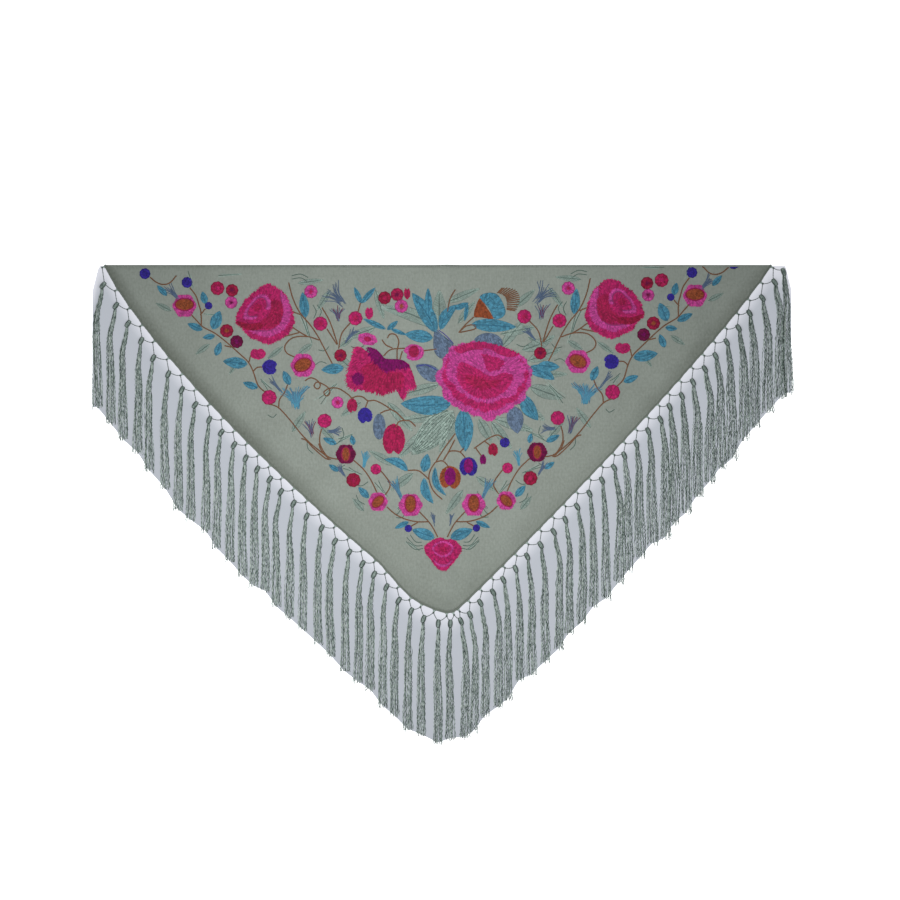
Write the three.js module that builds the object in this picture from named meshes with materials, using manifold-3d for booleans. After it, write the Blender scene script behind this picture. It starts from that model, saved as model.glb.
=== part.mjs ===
// A triangular embroidered dance shawl with a knotted, tasselled fringe, laid flat on a surface.
// Millimetres, +Z up. The long straight edge lies at the top (+Y) and the point at the bottom (-Y).
// The cloth is one wall with soft creases. Along its two short edges runs a rolled hem, and each
// length of hem carries its own fringe: a row of net, a wrapped knot under each mesh, and a tassel.
import * as THREE from "three";
import { mergeVertices } from "three/addons/utils/BufferGeometryUtils.js";
import Module from "manifold-3d";

const wasm = await Module();
wasm.setup();

// Driving sizes of the cloth
const HALF_WIDTH = 800; // half of the long straight edge
const POINT_DEPTH = 850; // where the two short edges would meet, below the long edge
const POINT_X = 26; // the point hangs this far right of the middle
const LEFT_BULGE = 74; // how far each short edge bows out below its chord
const RIGHT_BULGE = 34;
const BULGE_SKEW = 0.7; // below 1, the bow is fullest nearer the corner than the point
const POINT_FLARE = { x: -66, halfWidth: 90, depth: 20 }; // the left edge is fuller beside the point
const POINT_ROUNDING = 22; // softness of the rounded point
const CLOTH_THICK = 1.5;
const SEAM_GAP = 0.3;
const HEM_WIDTH = 4;
const HEM_THICK = 2.6;
const HEM_END = 1; // the hem's end stops this short of the very corner
const PANEL_INSET = HEM_WIDTH + SEAM_GAP;
const CORNER_HEIGHT = 3; // the cloth's side corners are blunt, this tall
const COLUMNS_PER_SIDE = 36; // columns of the cloth on each side of the point
const COLUMN_CROWDING = 1.25; // above 1, columns lie closer together towards the point
const PANEL_ROWS = 9;
const EDGE_CALM = 40; // creases die out over this distance from the edge

// Driving sizes of the fringe
const LEFT_ROOTS = 28; // bundles of yarn knotted into the hem, left of the point
const RIGHT_ROOTS = 29;
const ROOTS_BY_POINT = [-5, 10, 22, 46]; // x of the last left root and first right ones, from the point
const ROOT_UNEVEN = 1.5;
const ROOT_LENGTH = 8; // the short bundle from the hem to where its two strands part
const ROOT_TUCK = 2.4; // how far a root starts inside the hem
const ROOT_THICK = 3.2;
const STRAND_THICK = 2.4;
const STRAND_SAG = 2.5;
const STRAND_STOP = 9; // the strand across the point stops this short of the other side's knot
const KNOT_OFFSET = 18; // hem to the top of the wrapped knot, across the net
const KNOT_OFFSET_UNEVEN = 3;
const KNOT_LENGTH = 19;
const KNOT_WIDTH = 12;
const KNOT_HEIGHT = 10;
const KNOT_TUCK = 4; // how far the strands run into the top of a knot
const KNOT_TILT_SHARE = 0.6; // a knot hangs between the net's direction and straight down
const KNOT_TILT_UNEVEN = 0.12; // radians
const CORNER_KNOT_REACH = [25, -8]; // the last knot stands off the right-hand corner
const CORNER_KNOT_LEAN = 0.35;
const TASSEL_LENGTH = 275; // knot to cut end
const CORNER_TASSEL_EXTRA = 22;
const TASSEL_UNEVEN = 10;
const TASSEL_SWING = 17; // how far a tassel swings sideways for each unit of its knot's lean
const TASSEL_SWAY = 3;
const LOCK_END_UNEVEN = 4;
const LOCK_GAP = 1.2;
const LOCK_TUCK = 4; // how far a lock starts inside its knot
const FLOOR_CLEARANCE = 0.4;

// Where the roots crowd towards the point: first and last root touched, and the largest shift
const ROOT_DRIFTS = [
  { from: 3.5, to: 15, shift: 11 },
  { from: 15, to: 26.5, shift: 11 },
  { from: 33, to: 51, shift: 10 },
];

// One lock from its knot to its cut end: mm below its start, its width and height, and how much of
// the swing and the sway it has made by then
const LOCK_STATIONS = [
  { below: 0, width: 3.4, height: 5, swung: 0, swayed: 0 },
  { below: 24, width: 5.4, height: 5.6, swung: 0.6, swayed: 0 },
  { below: 95, width: 8, height: 6.4, swung: 1, swayed: 1 },
  { below: TASSEL_LENGTH, width: 10.2, height: 6.4, swung: 1, swayed: 0 },
];

// Sections of the strands, as shares of half the width and half the height
const DIAMOND = [
  { across: 1, up: 0 },
  { across: 0, up: -1 },
  { across: -1, up: 0 },
  { across: 0, up: 1 },
];
const TRIANGLE = [
  { across: 1, up: -1 },
  { across: -1, up: -1 },
  { across: 0, up: 1 },
];

// Soft creases of the cloth: where each runs, how wide and how high it is.
// x at the top end, lean in mm of x for each mm down, half width and height; from and to are depths.
const CREASES = [
  { x: -560, lean: -0.05, from: 20, to: 240, halfWidth: 46, height: 3.5 },
  { x: -330, lean: 0.06, from: 60, to: 470, halfWidth: 52, height: 4.5 },
  { x: -120, lean: 0.1, from: 250, to: 690, halfWidth: 44, height: 3.5 },
  { x: 20, lean: 0.0, from: -60, to: 880, halfWidth: 34, height: 6.5 },
  { x: 76, lean: -0.03, from: 560, to: 800, halfWidth: 32, height: 4 },
  { x: 205, lean: 0.02, from: 300, to: 640, halfWidth: 40, height: 4.5 },
  { x: 420, lean: -0.08, from: 30, to: 420, halfWidth: 54, height: 4 },
  { x: 610, lean: 0.04, from: 20, to: 230, halfWidth: 44, height: 3.5 },
];

// A repeatable small unevenness between -1 and 1
function uneven(index, kind) {
  const wave = Math.sin(index * 12.9898 + kind * 78.233) * 43758.5453;
  return 2 * (wave - Math.floor(wave)) - 1;
}

function smoothStep(value) {
  const t = Math.min(1, Math.max(0, value));
  return t * t * (3 - 2 * t);
}

// How far a short edge lies below the long edge, share running from the corner to the point
function edgeSide(share, bulge) {
  if (share <= 0 || share >= 1) return POINT_DEPTH * share;
  const bow = 1 - (2 * share ** BULGE_SKEW - 1) ** 2;
  return POINT_DEPTH * share + bulge * bow;
}

// Depth of the cloth's outer edge at x: the two short edges with a rounded point between them
function edgeDepth(x) {
  const flare = smoothStep(1 - Math.abs(x - POINT_FLARE.x) / POINT_FLARE.halfWidth);
  const left = edgeSide((x + HALF_WIDTH) / (POINT_X + HALF_WIDTH), LEFT_BULGE) + POINT_FLARE.depth * flare;
  const right = edgeSide((HALF_WIDTH - x) / (HALF_WIDTH - POINT_X), RIGHT_BULGE);
  const apart = (left - right) / POINT_ROUNDING;
  return Math.min(left, right) - POINT_ROUNDING * Math.log1p(Math.exp(-Math.abs(apart)));
}

function edgeSlope(x) {
  const step = 0.5;
  return (edgeDepth(x + step) - edgeDepth(x - step)) / (2 * step);
}

// Depth of a line that runs inside the outer edge, parallel to it
function insetDepth(x, inset) {
  return edgeDepth(x) - inset * Math.hypot(1, edgeSlope(x));
}

// The outward direction of the edge at x, in the plane of the cloth
function outward(x) {
  return new THREE.Vector2(-edgeSlope(x), -1).normalize();
}

// Height of the creases above the surface, dying out towards every edge
function creaseLift(x, depth) {
  const fromEdge = Math.min(insetDepth(x, HEM_WIDTH) - depth, HALF_WIDTH - Math.abs(x));
  let lift = 0;
  for (const c of CREASES) {
    const across = Math.abs(x - c.x - c.lean * (depth - c.from)) / c.halfWidth;
    const along = smoothStep((depth - c.from) / 70) * smoothStep((c.to - depth) / 70);
    lift += c.height * smoothStep(1 - across) * along;
  }
  return lift * smoothStep(fromEdge / EDGE_CALM);
}

// A closed solid from an indexed list of points
function solidFrom(points, faces) {
  const geometry = new THREE.BufferGeometry().setFromPoints(points);
  geometry.setIndex(faces);
  return geometry;
}

// A wall over a grid of columns and rows: point(column, row, side) gives a corner, side 0 below, 1 above
function wallGeometry(columns, rows, point) {
  const points = [];
  const faces = [];
  const at = (i, j, side) => (side * (columns + 1) + i) * (rows + 1) + j;
  for (const side of [0, 1]) {
    for (let i = 0; i <= columns; i++) {
      for (let j = 0; j <= rows; j++) points.push(point(i, j, side));
    }
  }
  const quad = (a, b, c, d) => faces.push(a, b, c, a, c, d);
  for (let i = 0; i < columns; i++) {
    for (let j = 0; j < rows; j++) {
      quad(at(i, j, 1), at(i, j + 1, 1), at(i + 1, j + 1, 1), at(i + 1, j, 1));
      quad(at(i, j, 0), at(i + 1, j, 0), at(i + 1, j + 1, 0), at(i, j + 1, 0));
    }
    quad(at(i, 0, 0), at(i, 0, 1), at(i + 1, 0, 1), at(i + 1, 0, 0));
    quad(at(i, rows, 0), at(i + 1, rows, 0), at(i + 1, rows, 1), at(i, rows, 1));
  }
  for (let j = 0; j < rows; j++) {
    quad(at(0, j, 0), at(0, j + 1, 0), at(0, j + 1, 1), at(0, j, 1));
    quad(at(columns, j, 0), at(columns, j, 1), at(columns, j + 1, 1), at(columns, j + 1, 0));
  }
  return solidFrom(points, faces);
}

// The x nearest a corner, on its side, at which a line inside the edge is as deep as asked
function cornerX(side, inset, depth) {
  let outer = side * HALF_WIDTH;
  let inner = side * HALF_WIDTH * 0.9;
  for (let n = 0; n < 40; n++) {
    const middle = (outer + inner) / 2;
    if (insetDepth(middle, inset) < depth) outer = middle;
    else inner = middle;
  }
  return inner;
}

// The columns that the cloth and the hem share on one side, from its corner to the point
function sideColumns(side) {
  const corner = cornerX(side, PANEL_INSET, CORNER_HEIGHT);
  const columns = [];
  for (let n = COLUMNS_PER_SIDE; n >= 0; n--) {
    columns.push(POINT_X + (corner - POINT_X) * (n / COLUMNS_PER_SIDE) ** COLUMN_CROWDING);
  }
  return columns;
}

function clothPanel() {
  const columns = [...sideColumns(-1), ...sideColumns(1).reverse().slice(1)];
  return wallGeometry(columns.length - 1, PANEL_ROWS, (i, j, side) => {
    const x = columns[i];
    const depth = (insetDepth(x, PANEL_INSET) * j) / PANEL_ROWS;
    return new THREE.Vector3(x, -depth, creaseLift(x, depth) + side * CLOTH_THICK);
  });
}

// One side's length of rolled hem, along the outer edge from the corner to just short of the point
function hemLength(side) {
  const columns = [side * (HALF_WIDTH - HEM_END), ...sideColumns(side)];
  columns[columns.length - 1] += (side * SEAM_GAP) / 2;
  if (side > 0) columns.reverse();
  return wallGeometry(columns.length - 1, 1, (i, j, face) => {
    const x = columns[i];
    const depth = j === 0 ? Math.max(0, insetDepth(x, HEM_WIDTH)) : edgeDepth(x);
    return new THREE.Vector3(x, -depth, face * HEM_THICK);
  });
}

// A strand along a path; each station has a point, a width and a height, and the section
// lists its corners as shares of half of each
function strand(stations, section = DIAMOND) {
  const points = [];
  const faces = [];
  const sides = section.length;
  const last = stations.length - 1;
  stations.forEach((s, i) => {
    const before = stations[Math.max(0, i - 1)].at;
    const after = stations[Math.min(last, i + 1)].at;
    const along = after.clone().sub(before).setZ(0).normalize();
    for (const corner of section) {
      const across = (corner.across * s.width) / 2;
      const up = (corner.up * s.height) / 2;
      points.push(new THREE.Vector3(-along.y * across, along.x * across, up).add(s.at));
    }
  });
  for (let i = 0; i < last; i++) {
    for (let k = 0; k < sides; k++) {
      const a = sides * i + k;
      const b = sides * i + ((k + 1) % sides);
      faces.push(a, b + sides, b, a, a + sides, b + sides);
    }
  }
  const end = sides * last;
  for (let k = 1; k < sides - 1; k++) {
    faces.push(0, k, k + 1, end, end + k + 1, end + k);
  }
  return solidFrom(points, faces);
}

// A wrapped knot: a six-sided bead from top to bottom, flattened where it lies
function knotBead(top, direction) {
  const radius = KNOT_WIDTH / 2;
  const profile = [
    new THREE.Vector2(0, 0),
    new THREE.Vector2(radius, KNOT_LENGTH * 0.25),
    new THREE.Vector2(radius, KNOT_LENGTH * 0.75),
    new THREE.Vector2(0, KNOT_LENGTH),
  ];
  const bead = new THREE.LatheGeometry(profile, 6, Math.PI / 6);
  bead.scale(1, 1, KNOT_HEIGHT / KNOT_WIDTH);
  bead.rotateZ(Math.atan2(-direction.x, direction.y));
  bead.translate(top.x, top.y, KNOT_HEIGHT / 2 + FLOOR_CLEARANCE);
  return bead;
}

function toManifold(geometry) {
  const bare = geometry.clone();
  bare.deleteAttribute("normal");
  bare.deleteAttribute("uv");
  const merged = mergeVertices(bare, 1e-4);
  return new wasm.Manifold(
    new wasm.Mesh({
      numProp: 3,
      vertProperties: new Float32Array(merged.attributes.position.array),
      triVerts: new Uint32Array(merged.index.array),
    }),
  );
}

function fuse(geometries) {
  const joined = geometries.map(toManifold).reduce((a, b) => a.add(b));
  const mesh = joined.getMesh();
  const geometry = new THREE.BufferGeometry();
  geometry.setAttribute("position", new THREE.BufferAttribute(mesh.vertProperties, 3));
  geometry.setIndex(new THREE.BufferAttribute(mesh.triVerts, 1));
  return geometry;
}

// Where the fringe is rooted, counted from the left corner to the right one
function rootX(index) {
  if (index <= 0) return cornerX(-1, 0, HEM_WIDTH);
  if (index >= LEFT_ROOTS + RIGHT_ROOTS - 1) return cornerX(1, 0, HEM_WIDTH);
  const byPoint = ROOTS_BY_POINT[index - LEFT_ROOTS + 1];
  if (byPoint !== undefined) return POINT_X + byPoint;
  const left = index < LEFT_ROOTS;
  const from = left ? -HALF_WIDTH : POINT_X + ROOTS_BY_POINT[ROOTS_BY_POINT.length - 1];
  const to = left ? POINT_X + ROOTS_BY_POINT[0] : HALF_WIDTH;
  const steps = left ? LEFT_ROOTS - 1 : RIGHT_ROOTS - ROOTS_BY_POINT.length + 1;
  const step = left ? index : index - LEFT_ROOTS - ROOTS_BY_POINT.length + 2;
  let x = from + ((to - from) * step) / steps + ROOT_UNEVEN * uneven(index, 1);
  for (const drift of ROOT_DRIFTS) {
    const share = (index - drift.from) / (drift.to - drift.from);
    if (share > 0 && share < 1) x += drift.shift * Math.sin(Math.PI * share) ** 2;
  }
  return x;
}

function edgePoint(x) {
  return new THREE.Vector2(x, -edgeDepth(x));
}

// One bundle from inside the hem to where its strands part
function rootBundle(x) {
  const z = ROOT_THICK / 2 + FLOOR_CLEARANCE;
  const out = outward(x);
  const stations = [-ROOT_TUCK, ROOT_LENGTH].map((reach) => {
    const end = edgePoint(x).addScaledVector(out, reach);
    return { at: new THREE.Vector3(end.x, end.y, z), width: ROOT_THICK, height: ROOT_THICK };
  });
  return strand(stations);
}

// Where the two strands of a root part, just inside the end of its bundle
function partingPoint(x) {
  return edgePoint(x).addScaledVector(outward(x), ROOT_LENGTH - ROOT_THICK * 0.4);
}

// One side of a mesh of the net, from the end of a root to the top of a knot
function netStrand(from, to, endHeight = KNOT_HEIGHT / 2) {
  const z = STRAND_THICK / 2 + FLOOR_CLEARANCE;
  const start = new THREE.Vector3(from.x, from.y, z);
  const end = new THREE.Vector3(to.x, to.y, endHeight);
  const middle = start.clone().lerp(end, 0.5);
  middle.y -= STRAND_SAG;
  middle.z = z;
  const stations = [start, middle, end].map((at) => ({
    at,
    width: STRAND_THICK,
    height: STRAND_THICK,
  }));
  return strand(stations, TRIANGLE);
}

// The tassel under a knot: two locks that part as they leave it, swing out and hang straight down
function tassel(knot) {
  const swing = TASSEL_SWING * knot.direction.x;
  const sway = TASSEL_SWAY * uneven(knot.index, 5);
  const longer = knot.extra + TASSEL_UNEVEN * uneven(knot.index, 4);
  const from = knot.top.clone().addScaledVector(knot.direction, KNOT_LENGTH - LOCK_TUCK);
  return [-1, 1].map((side) => {
    const cut = longer + LOCK_END_UNEVEN * side * uneven(knot.index, 6);
    const stations = LOCK_STATIONS.map((s, i) => {
      const last = i === LOCK_STATIONS.length - 1;
      const x = from.x + swing * s.swung + sway * s.swayed + (side * (s.width + LOCK_GAP)) / 2;
      const y = from.y - s.below - (last ? cut : 0);
      const z = s.height / 2 + FLOOR_CLEARANCE;
      return { at: new THREE.Vector3(x, y, z), width: s.width, height: s.height };
    });
    return strand(stations);
  });
}

// The knot that hangs between a root and the next one, or off the right-hand corner after the last
function knotAfter(index) {
  const lastRoot = LEFT_ROOTS + RIGHT_ROOTS - 1;
  let top = new THREE.Vector2(HALF_WIDTH + CORNER_KNOT_REACH[0], CORNER_KNOT_REACH[1]);
  let lean = CORNER_KNOT_LEAN;
  if (index < lastRoot) {
    const x = (rootX(index) + rootX(index + 1)) / 2;
    const out = outward(x);
    top = edgePoint(x).addScaledVector(out, KNOT_OFFSET + KNOT_OFFSET_UNEVEN * uneven(index, 2));
    lean = Math.atan2(out.x, -out.y) * KNOT_TILT_SHARE + KNOT_TILT_UNEVEN * uneven(index, 3);
  }
  const direction = new THREE.Vector2(Math.sin(lean), -Math.cos(lean));
  const extra = index === 0 || index === lastRoot ? CORNER_TASSEL_EXTRA : 0;
  return { index, top, direction, extra, tuck: top.clone().addScaledVector(direction, KNOT_TUCK) };
}

// The fringe of one side on its own length of hem. The knot below the point belongs to the left
// side; the strand that reaches it from the right side stops just short of it.
function fringe(side) {
  const onLeft = side < 0;
  const firstRoot = onLeft ? 0 : LEFT_ROOTS;
  const lastRoot = onLeft ? LEFT_ROOTS - 1 : LEFT_ROOTS + RIGHT_ROOTS - 1;
  const pieces = [hemLength(side)];
  for (let i = firstRoot; i <= lastRoot; i++) {
    const knot = knotAfter(i);
    pieces.push(rootBundle(rootX(i)), knotBead(knot.top, knot.direction), ...tassel(knot));
    pieces.push(netStrand(partingPoint(rootX(i)), knot.tuck));
    if (i < lastRoot) pieces.push(netStrand(partingPoint(rootX(i + 1)), knot.tuck));
  }
  if (!onLeft) {
    const start = partingPoint(rootX(firstRoot));
    const tuck = knotAfter(firstRoot - 1).tuck;
    const stop = tuck.clone().add(start.clone().sub(tuck).setLength(STRAND_STOP));
    pieces.push(netStrand(start, stop, STRAND_THICK));
  }
  return fuse(pieces);
}

const clothColour = new THREE.MeshStandardMaterial({ color: 0x87907f, roughness: 0.75, metalness: 0 });
const fringeColour = new THREE.MeshStandardMaterial({ color: 0x8a9890, roughness: 0.6, metalness: 0 });

function addNode(group, name, geometry, material) {
  geometry.computeVertexNormals();
  const mesh = new THREE.Mesh(geometry, material);
  mesh.name = name;
  group.add(mesh);
}

const shawl = new THREE.Group();
addNode(shawl, "cloth_panel", clothPanel(), clothColour);
addNode(shawl, "fringe_left", fringe(-1), fringeColour);
addNode(shawl, "fringe_right", fringe(1), fringeColour);

// The origin is under the middle of the whole shawl, on the surface it lies on
const box = new THREE.Box3().setFromObject(shawl);
const middle = box.getCenter(new THREE.Vector3());
shawl.position.set(-middle.x, -middle.y, -box.min.z);

export default shawl;
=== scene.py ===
"""The looks of a flamenco shawl laid flat: cloth, hem, knotted fringe and embroidery.

Sizes are in millimetres in the cloth's own frame: x to the right from the middle of the long
straight edge, depth from that edge towards the point, and height above the surface it lies on.
place() turns them into the row frame in metres.
"""

import math
import random

import bpy
import numpy as np
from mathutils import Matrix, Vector
from mathutils.geometry import delaunay_2d_cdt


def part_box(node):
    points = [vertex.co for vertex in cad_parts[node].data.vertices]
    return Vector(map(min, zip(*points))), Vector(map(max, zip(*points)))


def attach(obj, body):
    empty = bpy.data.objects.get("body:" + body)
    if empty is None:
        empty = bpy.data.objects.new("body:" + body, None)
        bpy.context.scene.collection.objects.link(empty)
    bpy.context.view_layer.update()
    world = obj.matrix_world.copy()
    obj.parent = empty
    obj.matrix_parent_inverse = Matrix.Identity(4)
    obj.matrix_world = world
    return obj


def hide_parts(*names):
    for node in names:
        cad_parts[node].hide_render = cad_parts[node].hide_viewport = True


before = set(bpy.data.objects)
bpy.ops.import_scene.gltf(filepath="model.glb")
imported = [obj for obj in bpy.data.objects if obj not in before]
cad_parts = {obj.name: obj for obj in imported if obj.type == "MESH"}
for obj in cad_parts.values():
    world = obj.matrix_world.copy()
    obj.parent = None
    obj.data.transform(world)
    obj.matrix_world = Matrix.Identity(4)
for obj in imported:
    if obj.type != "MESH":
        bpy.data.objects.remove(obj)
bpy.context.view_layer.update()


def table(columns, rows):
    """The rows of a table as dictionaries, with the names of its columns given once."""
    names = columns.split()
    return [dict(zip(names, row)) for row in rows]


# The cloth's cut, the same driving sizes as the solids
HALF_WIDTH = 800
POINT_DEPTH = 850
POINT_X = 26
LEFT_BULGE = 74
RIGHT_BULGE = 34
BULGE_SKEW = 0.7
POINT_FLARE = dict(x=-66, half_width=90, depth=20)
POINT_ROUNDING = 22
HEM_WIDTH = 4
SEAM_GAP = 0.3
CORNER_HEIGHT = 3
EDGE_CALM = 40

# The fringe, the same driving sizes as the solids
LEFT_ROOTS = 28
RIGHT_ROOTS = 29
LAST_ROOT = LEFT_ROOTS + RIGHT_ROOTS - 1
ROOTS_BY_POINT = (-5, 10, 22, 46)
ROOT_UNEVEN = 1.5
ROOT_LENGTH = 8
KNOT_OFFSET = 18
KNOT_OFFSET_UNEVEN = 3
KNOT_LENGTH = 19
KNOT_WIDTH = 12
KNOT_HEIGHT = 10
KNOT_TUCK = 4
KNOT_TILT_SHARE = 0.6
KNOT_TILT_UNEVEN = 0.12
CORNER_KNOT_REACH = (25, -8)
CORNER_KNOT_LEAN = 0.35
TASSEL_LENGTH = 275
CORNER_TASSEL_EXTRA = 22
TASSEL_UNEVEN = 10
TASSEL_SWING = 17
TASSEL_SWAY = 3
LOCK_TUCK = 4
ROOT_DRIFTS = table("start end shift", [
    (3.5, 15, 11),
    (15, 26.5, 11),
    (33, 51, 10),
])

# The cloth's shell, its folds and the painted shade that darkens it near its hems
CLOTH_THICK = 1.0
UNDER_SAG = 0.35
CLOTH_COLUMNS = 116
CLOTH_ROWS = 96
CLOSE_AT_ENDS = 0.4
TOP_HEM_HEIGHT = 0.9
TOP_HEM_SLOPE = 1.5
SLOW_WRINKLE = 0.55
FINE_WRINKLE = 0.22
MIDDLE_FOLD_X = 21
MIDDLE_FOLD_HEIGHT = 1.5
# How far in from the hems the painted shade reaches
PAINTED_SHADE_MARGIN = 48
LONG_EDGE_RATE = 3
HEM_SLANT = 0.72

# The rolled hem and the net
HEM_HEIGHT = 2.6
HEM_STATIONS = 500
WHIPPING_STEP = 3.1
ROOT_PULL = 1.1
ROOT_PULL_WIDTH = 5
ROOT_KNOT_LEVEL = 2.7
PLY_WIDTH = 1.15
PLY_HEIGHT = 1.1

# The stitches: sizes, unevenness as a share of a stitch, and the pads below them
THREAD = 1.5
STITCH_LENGTH = 7
STITCH_LIFT = 0.5
STITCH_BED = 0.15
STITCH_UNEVEN = 0.12
RING_UNEVEN = 0.17
RING_OVERLAP = 0.12
STEM_THREAD = THREAD * 1.15
STEM_ROW_STEP = 0.85
STEM_SLANT = 0.3
STEM_OVERLAP = 0.25
BUNDLE = 2
BUNDLE_SHADE = 0.3
PAD_HEIGHT = 0.25
PAD_CELL = 7
# Pads take a dark shade: painted shadow in the gaps between stitches
PAD_PAINTED_SHADOW = 0.15
NOTCH_DEPTH = 0.32
NOTCH_WIDTH = 0.3

# The long edge's hem stays free of stitches
TOP_EDGE_KEEP = 4.5

# How high the layers of the embroidery lie
SAME_LAYER = 0.05
FLOWER_LIFT = 0.4
OVER_SAGE = 0.15
SAGE_LAYER = -0.2
SAGE_STEP = 2.7

# The main creases of the cloth
CREASE_FADE = 70
CREASES = table("x lean top end half_width height", [
    (-560, -0.05, 20, 240, 46, 3.5),
    (-330, 0.06, 60, 470, 52, 4.5),
    (-120, 0.1, 250, 690, 44, 3.5),
    (20, 0.0, -60, 880, 34, 6.5),
    (76, -0.03, 560, 800, 32, 4),
    (205, 0.02, 300, 640, 40, 4.5),
    (420, -0.08, 30, 420, 54, 4),
    (610, 0.04, 20, 230, 44, 3.5),
])

rng = random.Random(7)


def random_values(count, low, high):
    return np.array([rng.uniform(low, high) for _ in range(count)])


def uneven(index, kind):
    """A repeatable small unevenness between -1 and 1, the same as in the solids."""
    wave = math.sin(index * 12.9898 + kind * 78.233) * 43758.5453
    return 2 * (wave - math.floor(wave)) - 1


def smooth_step(value):
    t = np.clip(value, 0, 1)
    return t * t * (3 - 2 * t)


def edge_side(share, bulge):
    bow = 1 - (2 * np.clip(share, 0, 1) ** BULGE_SKEW - 1) ** 2
    return POINT_DEPTH * share + bulge * bow


def edge_depth(x):
    """Depth of the cloth's outer edge at x."""
    flare = smooth_step(1 - np.abs(x - POINT_FLARE["x"]) / POINT_FLARE["half_width"])
    left = edge_side((x + HALF_WIDTH) / (POINT_X + HALF_WIDTH), LEFT_BULGE) + POINT_FLARE["depth"] * flare
    right = edge_side((HALF_WIDTH - x) / (HALF_WIDTH - POINT_X), RIGHT_BULGE)
    apart = np.abs(left - right) / POINT_ROUNDING
    return np.minimum(left, right) - POINT_ROUNDING * np.log1p(np.exp(-apart))


def edge_slope(x):
    return edge_depth(x + 0.5) - edge_depth(x - 0.5)


def inset_depth(x, inset):
    return edge_depth(x) - inset * np.hypot(1, edge_slope(x))


def outward(x):
    """The outward direction of the edge at x, as (x, depth)."""
    direction = np.array([-edge_slope(x), 1.0])
    return direction / np.hypot(*direction)


def corner_x(side, inset, depth):
    """The x nearest a corner at which a line inside the edge is as deep as asked, found by halving."""
    halvings = 40
    outer = side * HALF_WIDTH
    inner = side * HALF_WIDTH * 0.9
    for _ in range(halvings):
        middle = (outer + inner) / 2
        if inset_depth(middle, inset) < depth:
            outer = middle
        else:
            inner = middle
    return inner


def crease_lift(x, depth):
    from_edge = np.minimum(inset_depth(x, HEM_WIDTH) - depth, HALF_WIDTH - np.abs(x))
    lift = np.zeros(np.broadcast(x, depth).shape)
    for c in CREASES:
        across = np.abs(x - c["x"] - c["lean"] * (depth - c["top"])) / c["half_width"]
        begun = smooth_step((depth - c["top"]) / CREASE_FADE)
        along = begun * smooth_step((c["end"] - depth) / CREASE_FADE)
        lift = lift + c["height"] * smooth_step(1 - across) * along
    return lift * smooth_step(from_edge / EDGE_CALM)


def wrinkle_lift(x, depth):
    """Small unevenness of cloth that was folded away and smoothed out by hand, with its middle fold."""
    calm = smooth_step((inset_depth(x, HEM_WIDTH) - depth) / 60) * smooth_step(depth / 30)
    slow = np.sin(x / 31 + 1.7 * np.sin(depth / 90)) * np.sin(depth / 117 + 0.8 * np.sin(x / 70))
    fine = np.sin(x / 9.5 + 2.1 * np.sin(depth / 60)) * np.sin(depth / 41 + x / 53)
    fold = np.exp(-np.abs(x - MIDDLE_FOLD_X - 3 * np.sin(depth / 160)) / 4)
    return calm * (SLOW_WRINKLE * (slow + 1) + FINE_WRINKLE * (fine + 1) + MIDDLE_FOLD_HEIGHT * fold)


def cloth_top(x, depth):
    """Height of the cloth's upper face."""
    hem_fold = TOP_HEM_HEIGHT * smooth_step((TOP_EDGE_KEEP - depth) / TOP_HEM_SLOPE)
    return CLOTH_THICK + crease_lift(x, depth) + wrinkle_lift(x, depth) + hem_fold


panel_low, panel_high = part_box("cloth_panel")
SHIFT_X = panel_low.x * 1000 - corner_x(-1, HEM_WIDTH + SEAM_GAP, CORNER_HEIGHT)
SHIFT_Y = panel_high.y * 1000


def place(points):
    """Points (x, depth, height) in millimetres, in the row frame in metres."""
    p = np.asarray(points, float)
    return np.stack([p[..., 0] + SHIFT_X, SHIFT_Y - p[..., 1], p[..., 2]], axis=-1) / 1000


# Materials


def linear(rgb):
    """An sRGB colour out of 255 as a linear one."""
    c = np.array(rgb, float) / 255
    return tuple(np.where(c <= 0.04045, c / 12.92, ((c + 0.055) / 1.055) ** 2.4)) + (1.0,)


def set_inputs(node, values):
    for name, value in values.items():
        node.inputs[name].default_value = value


def shader(name, roughness, specular, sheen):
    material = bpy.data.materials.new(name)
    material.use_nodes = True
    tree = material.node_tree
    principled = tree.nodes["Principled BSDF"]
    sheens = {"Sheen Weight": sheen, "Sheen Roughness": 0.4}
    set_inputs(principled, {"Roughness": roughness, "Specular IOR Level": specular, **sheens})
    return material, tree, principled


def object_coordinates(tree, scale):
    """Object coordinates stretched by a scale for each axis, in features a metre."""
    coordinates = tree.nodes.new("ShaderNodeTexCoord")
    mapping = tree.nodes.new("ShaderNodeMapping")
    mapping.inputs["Scale"].default_value = scale
    tree.links.new(coordinates.outputs["Object"], mapping.inputs["Vector"])
    return mapping.outputs["Vector"]


def noise(tree, scale, detail):
    texture = tree.nodes.new("ShaderNodeTexNoise")
    set_inputs(texture, {"Scale": 1.0, "Detail": detail})
    tree.links.new(object_coordinates(tree, scale), texture.inputs["Vector"])
    return texture.outputs["Fac"]


def stripes(tree, scale, direction):
    texture = tree.nodes.new("ShaderNodeTexWave")
    texture.bands_direction = direction
    set_inputs(texture, {"Scale": 1.0, "Distortion": 0.6})
    tree.links.new(object_coordinates(tree, scale), texture.inputs["Vector"])
    return texture.outputs["Fac"]


def math_node(tree, operation, a, b):
    node = tree.nodes.new("ShaderNodeMath")
    node.operation = operation
    for socket, value in zip(node.inputs, (a, b)):
        if isinstance(value, (int, float)):
            socket.default_value = value
        else:
            tree.links.new(value, socket)
    return node.outputs[0]


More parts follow.
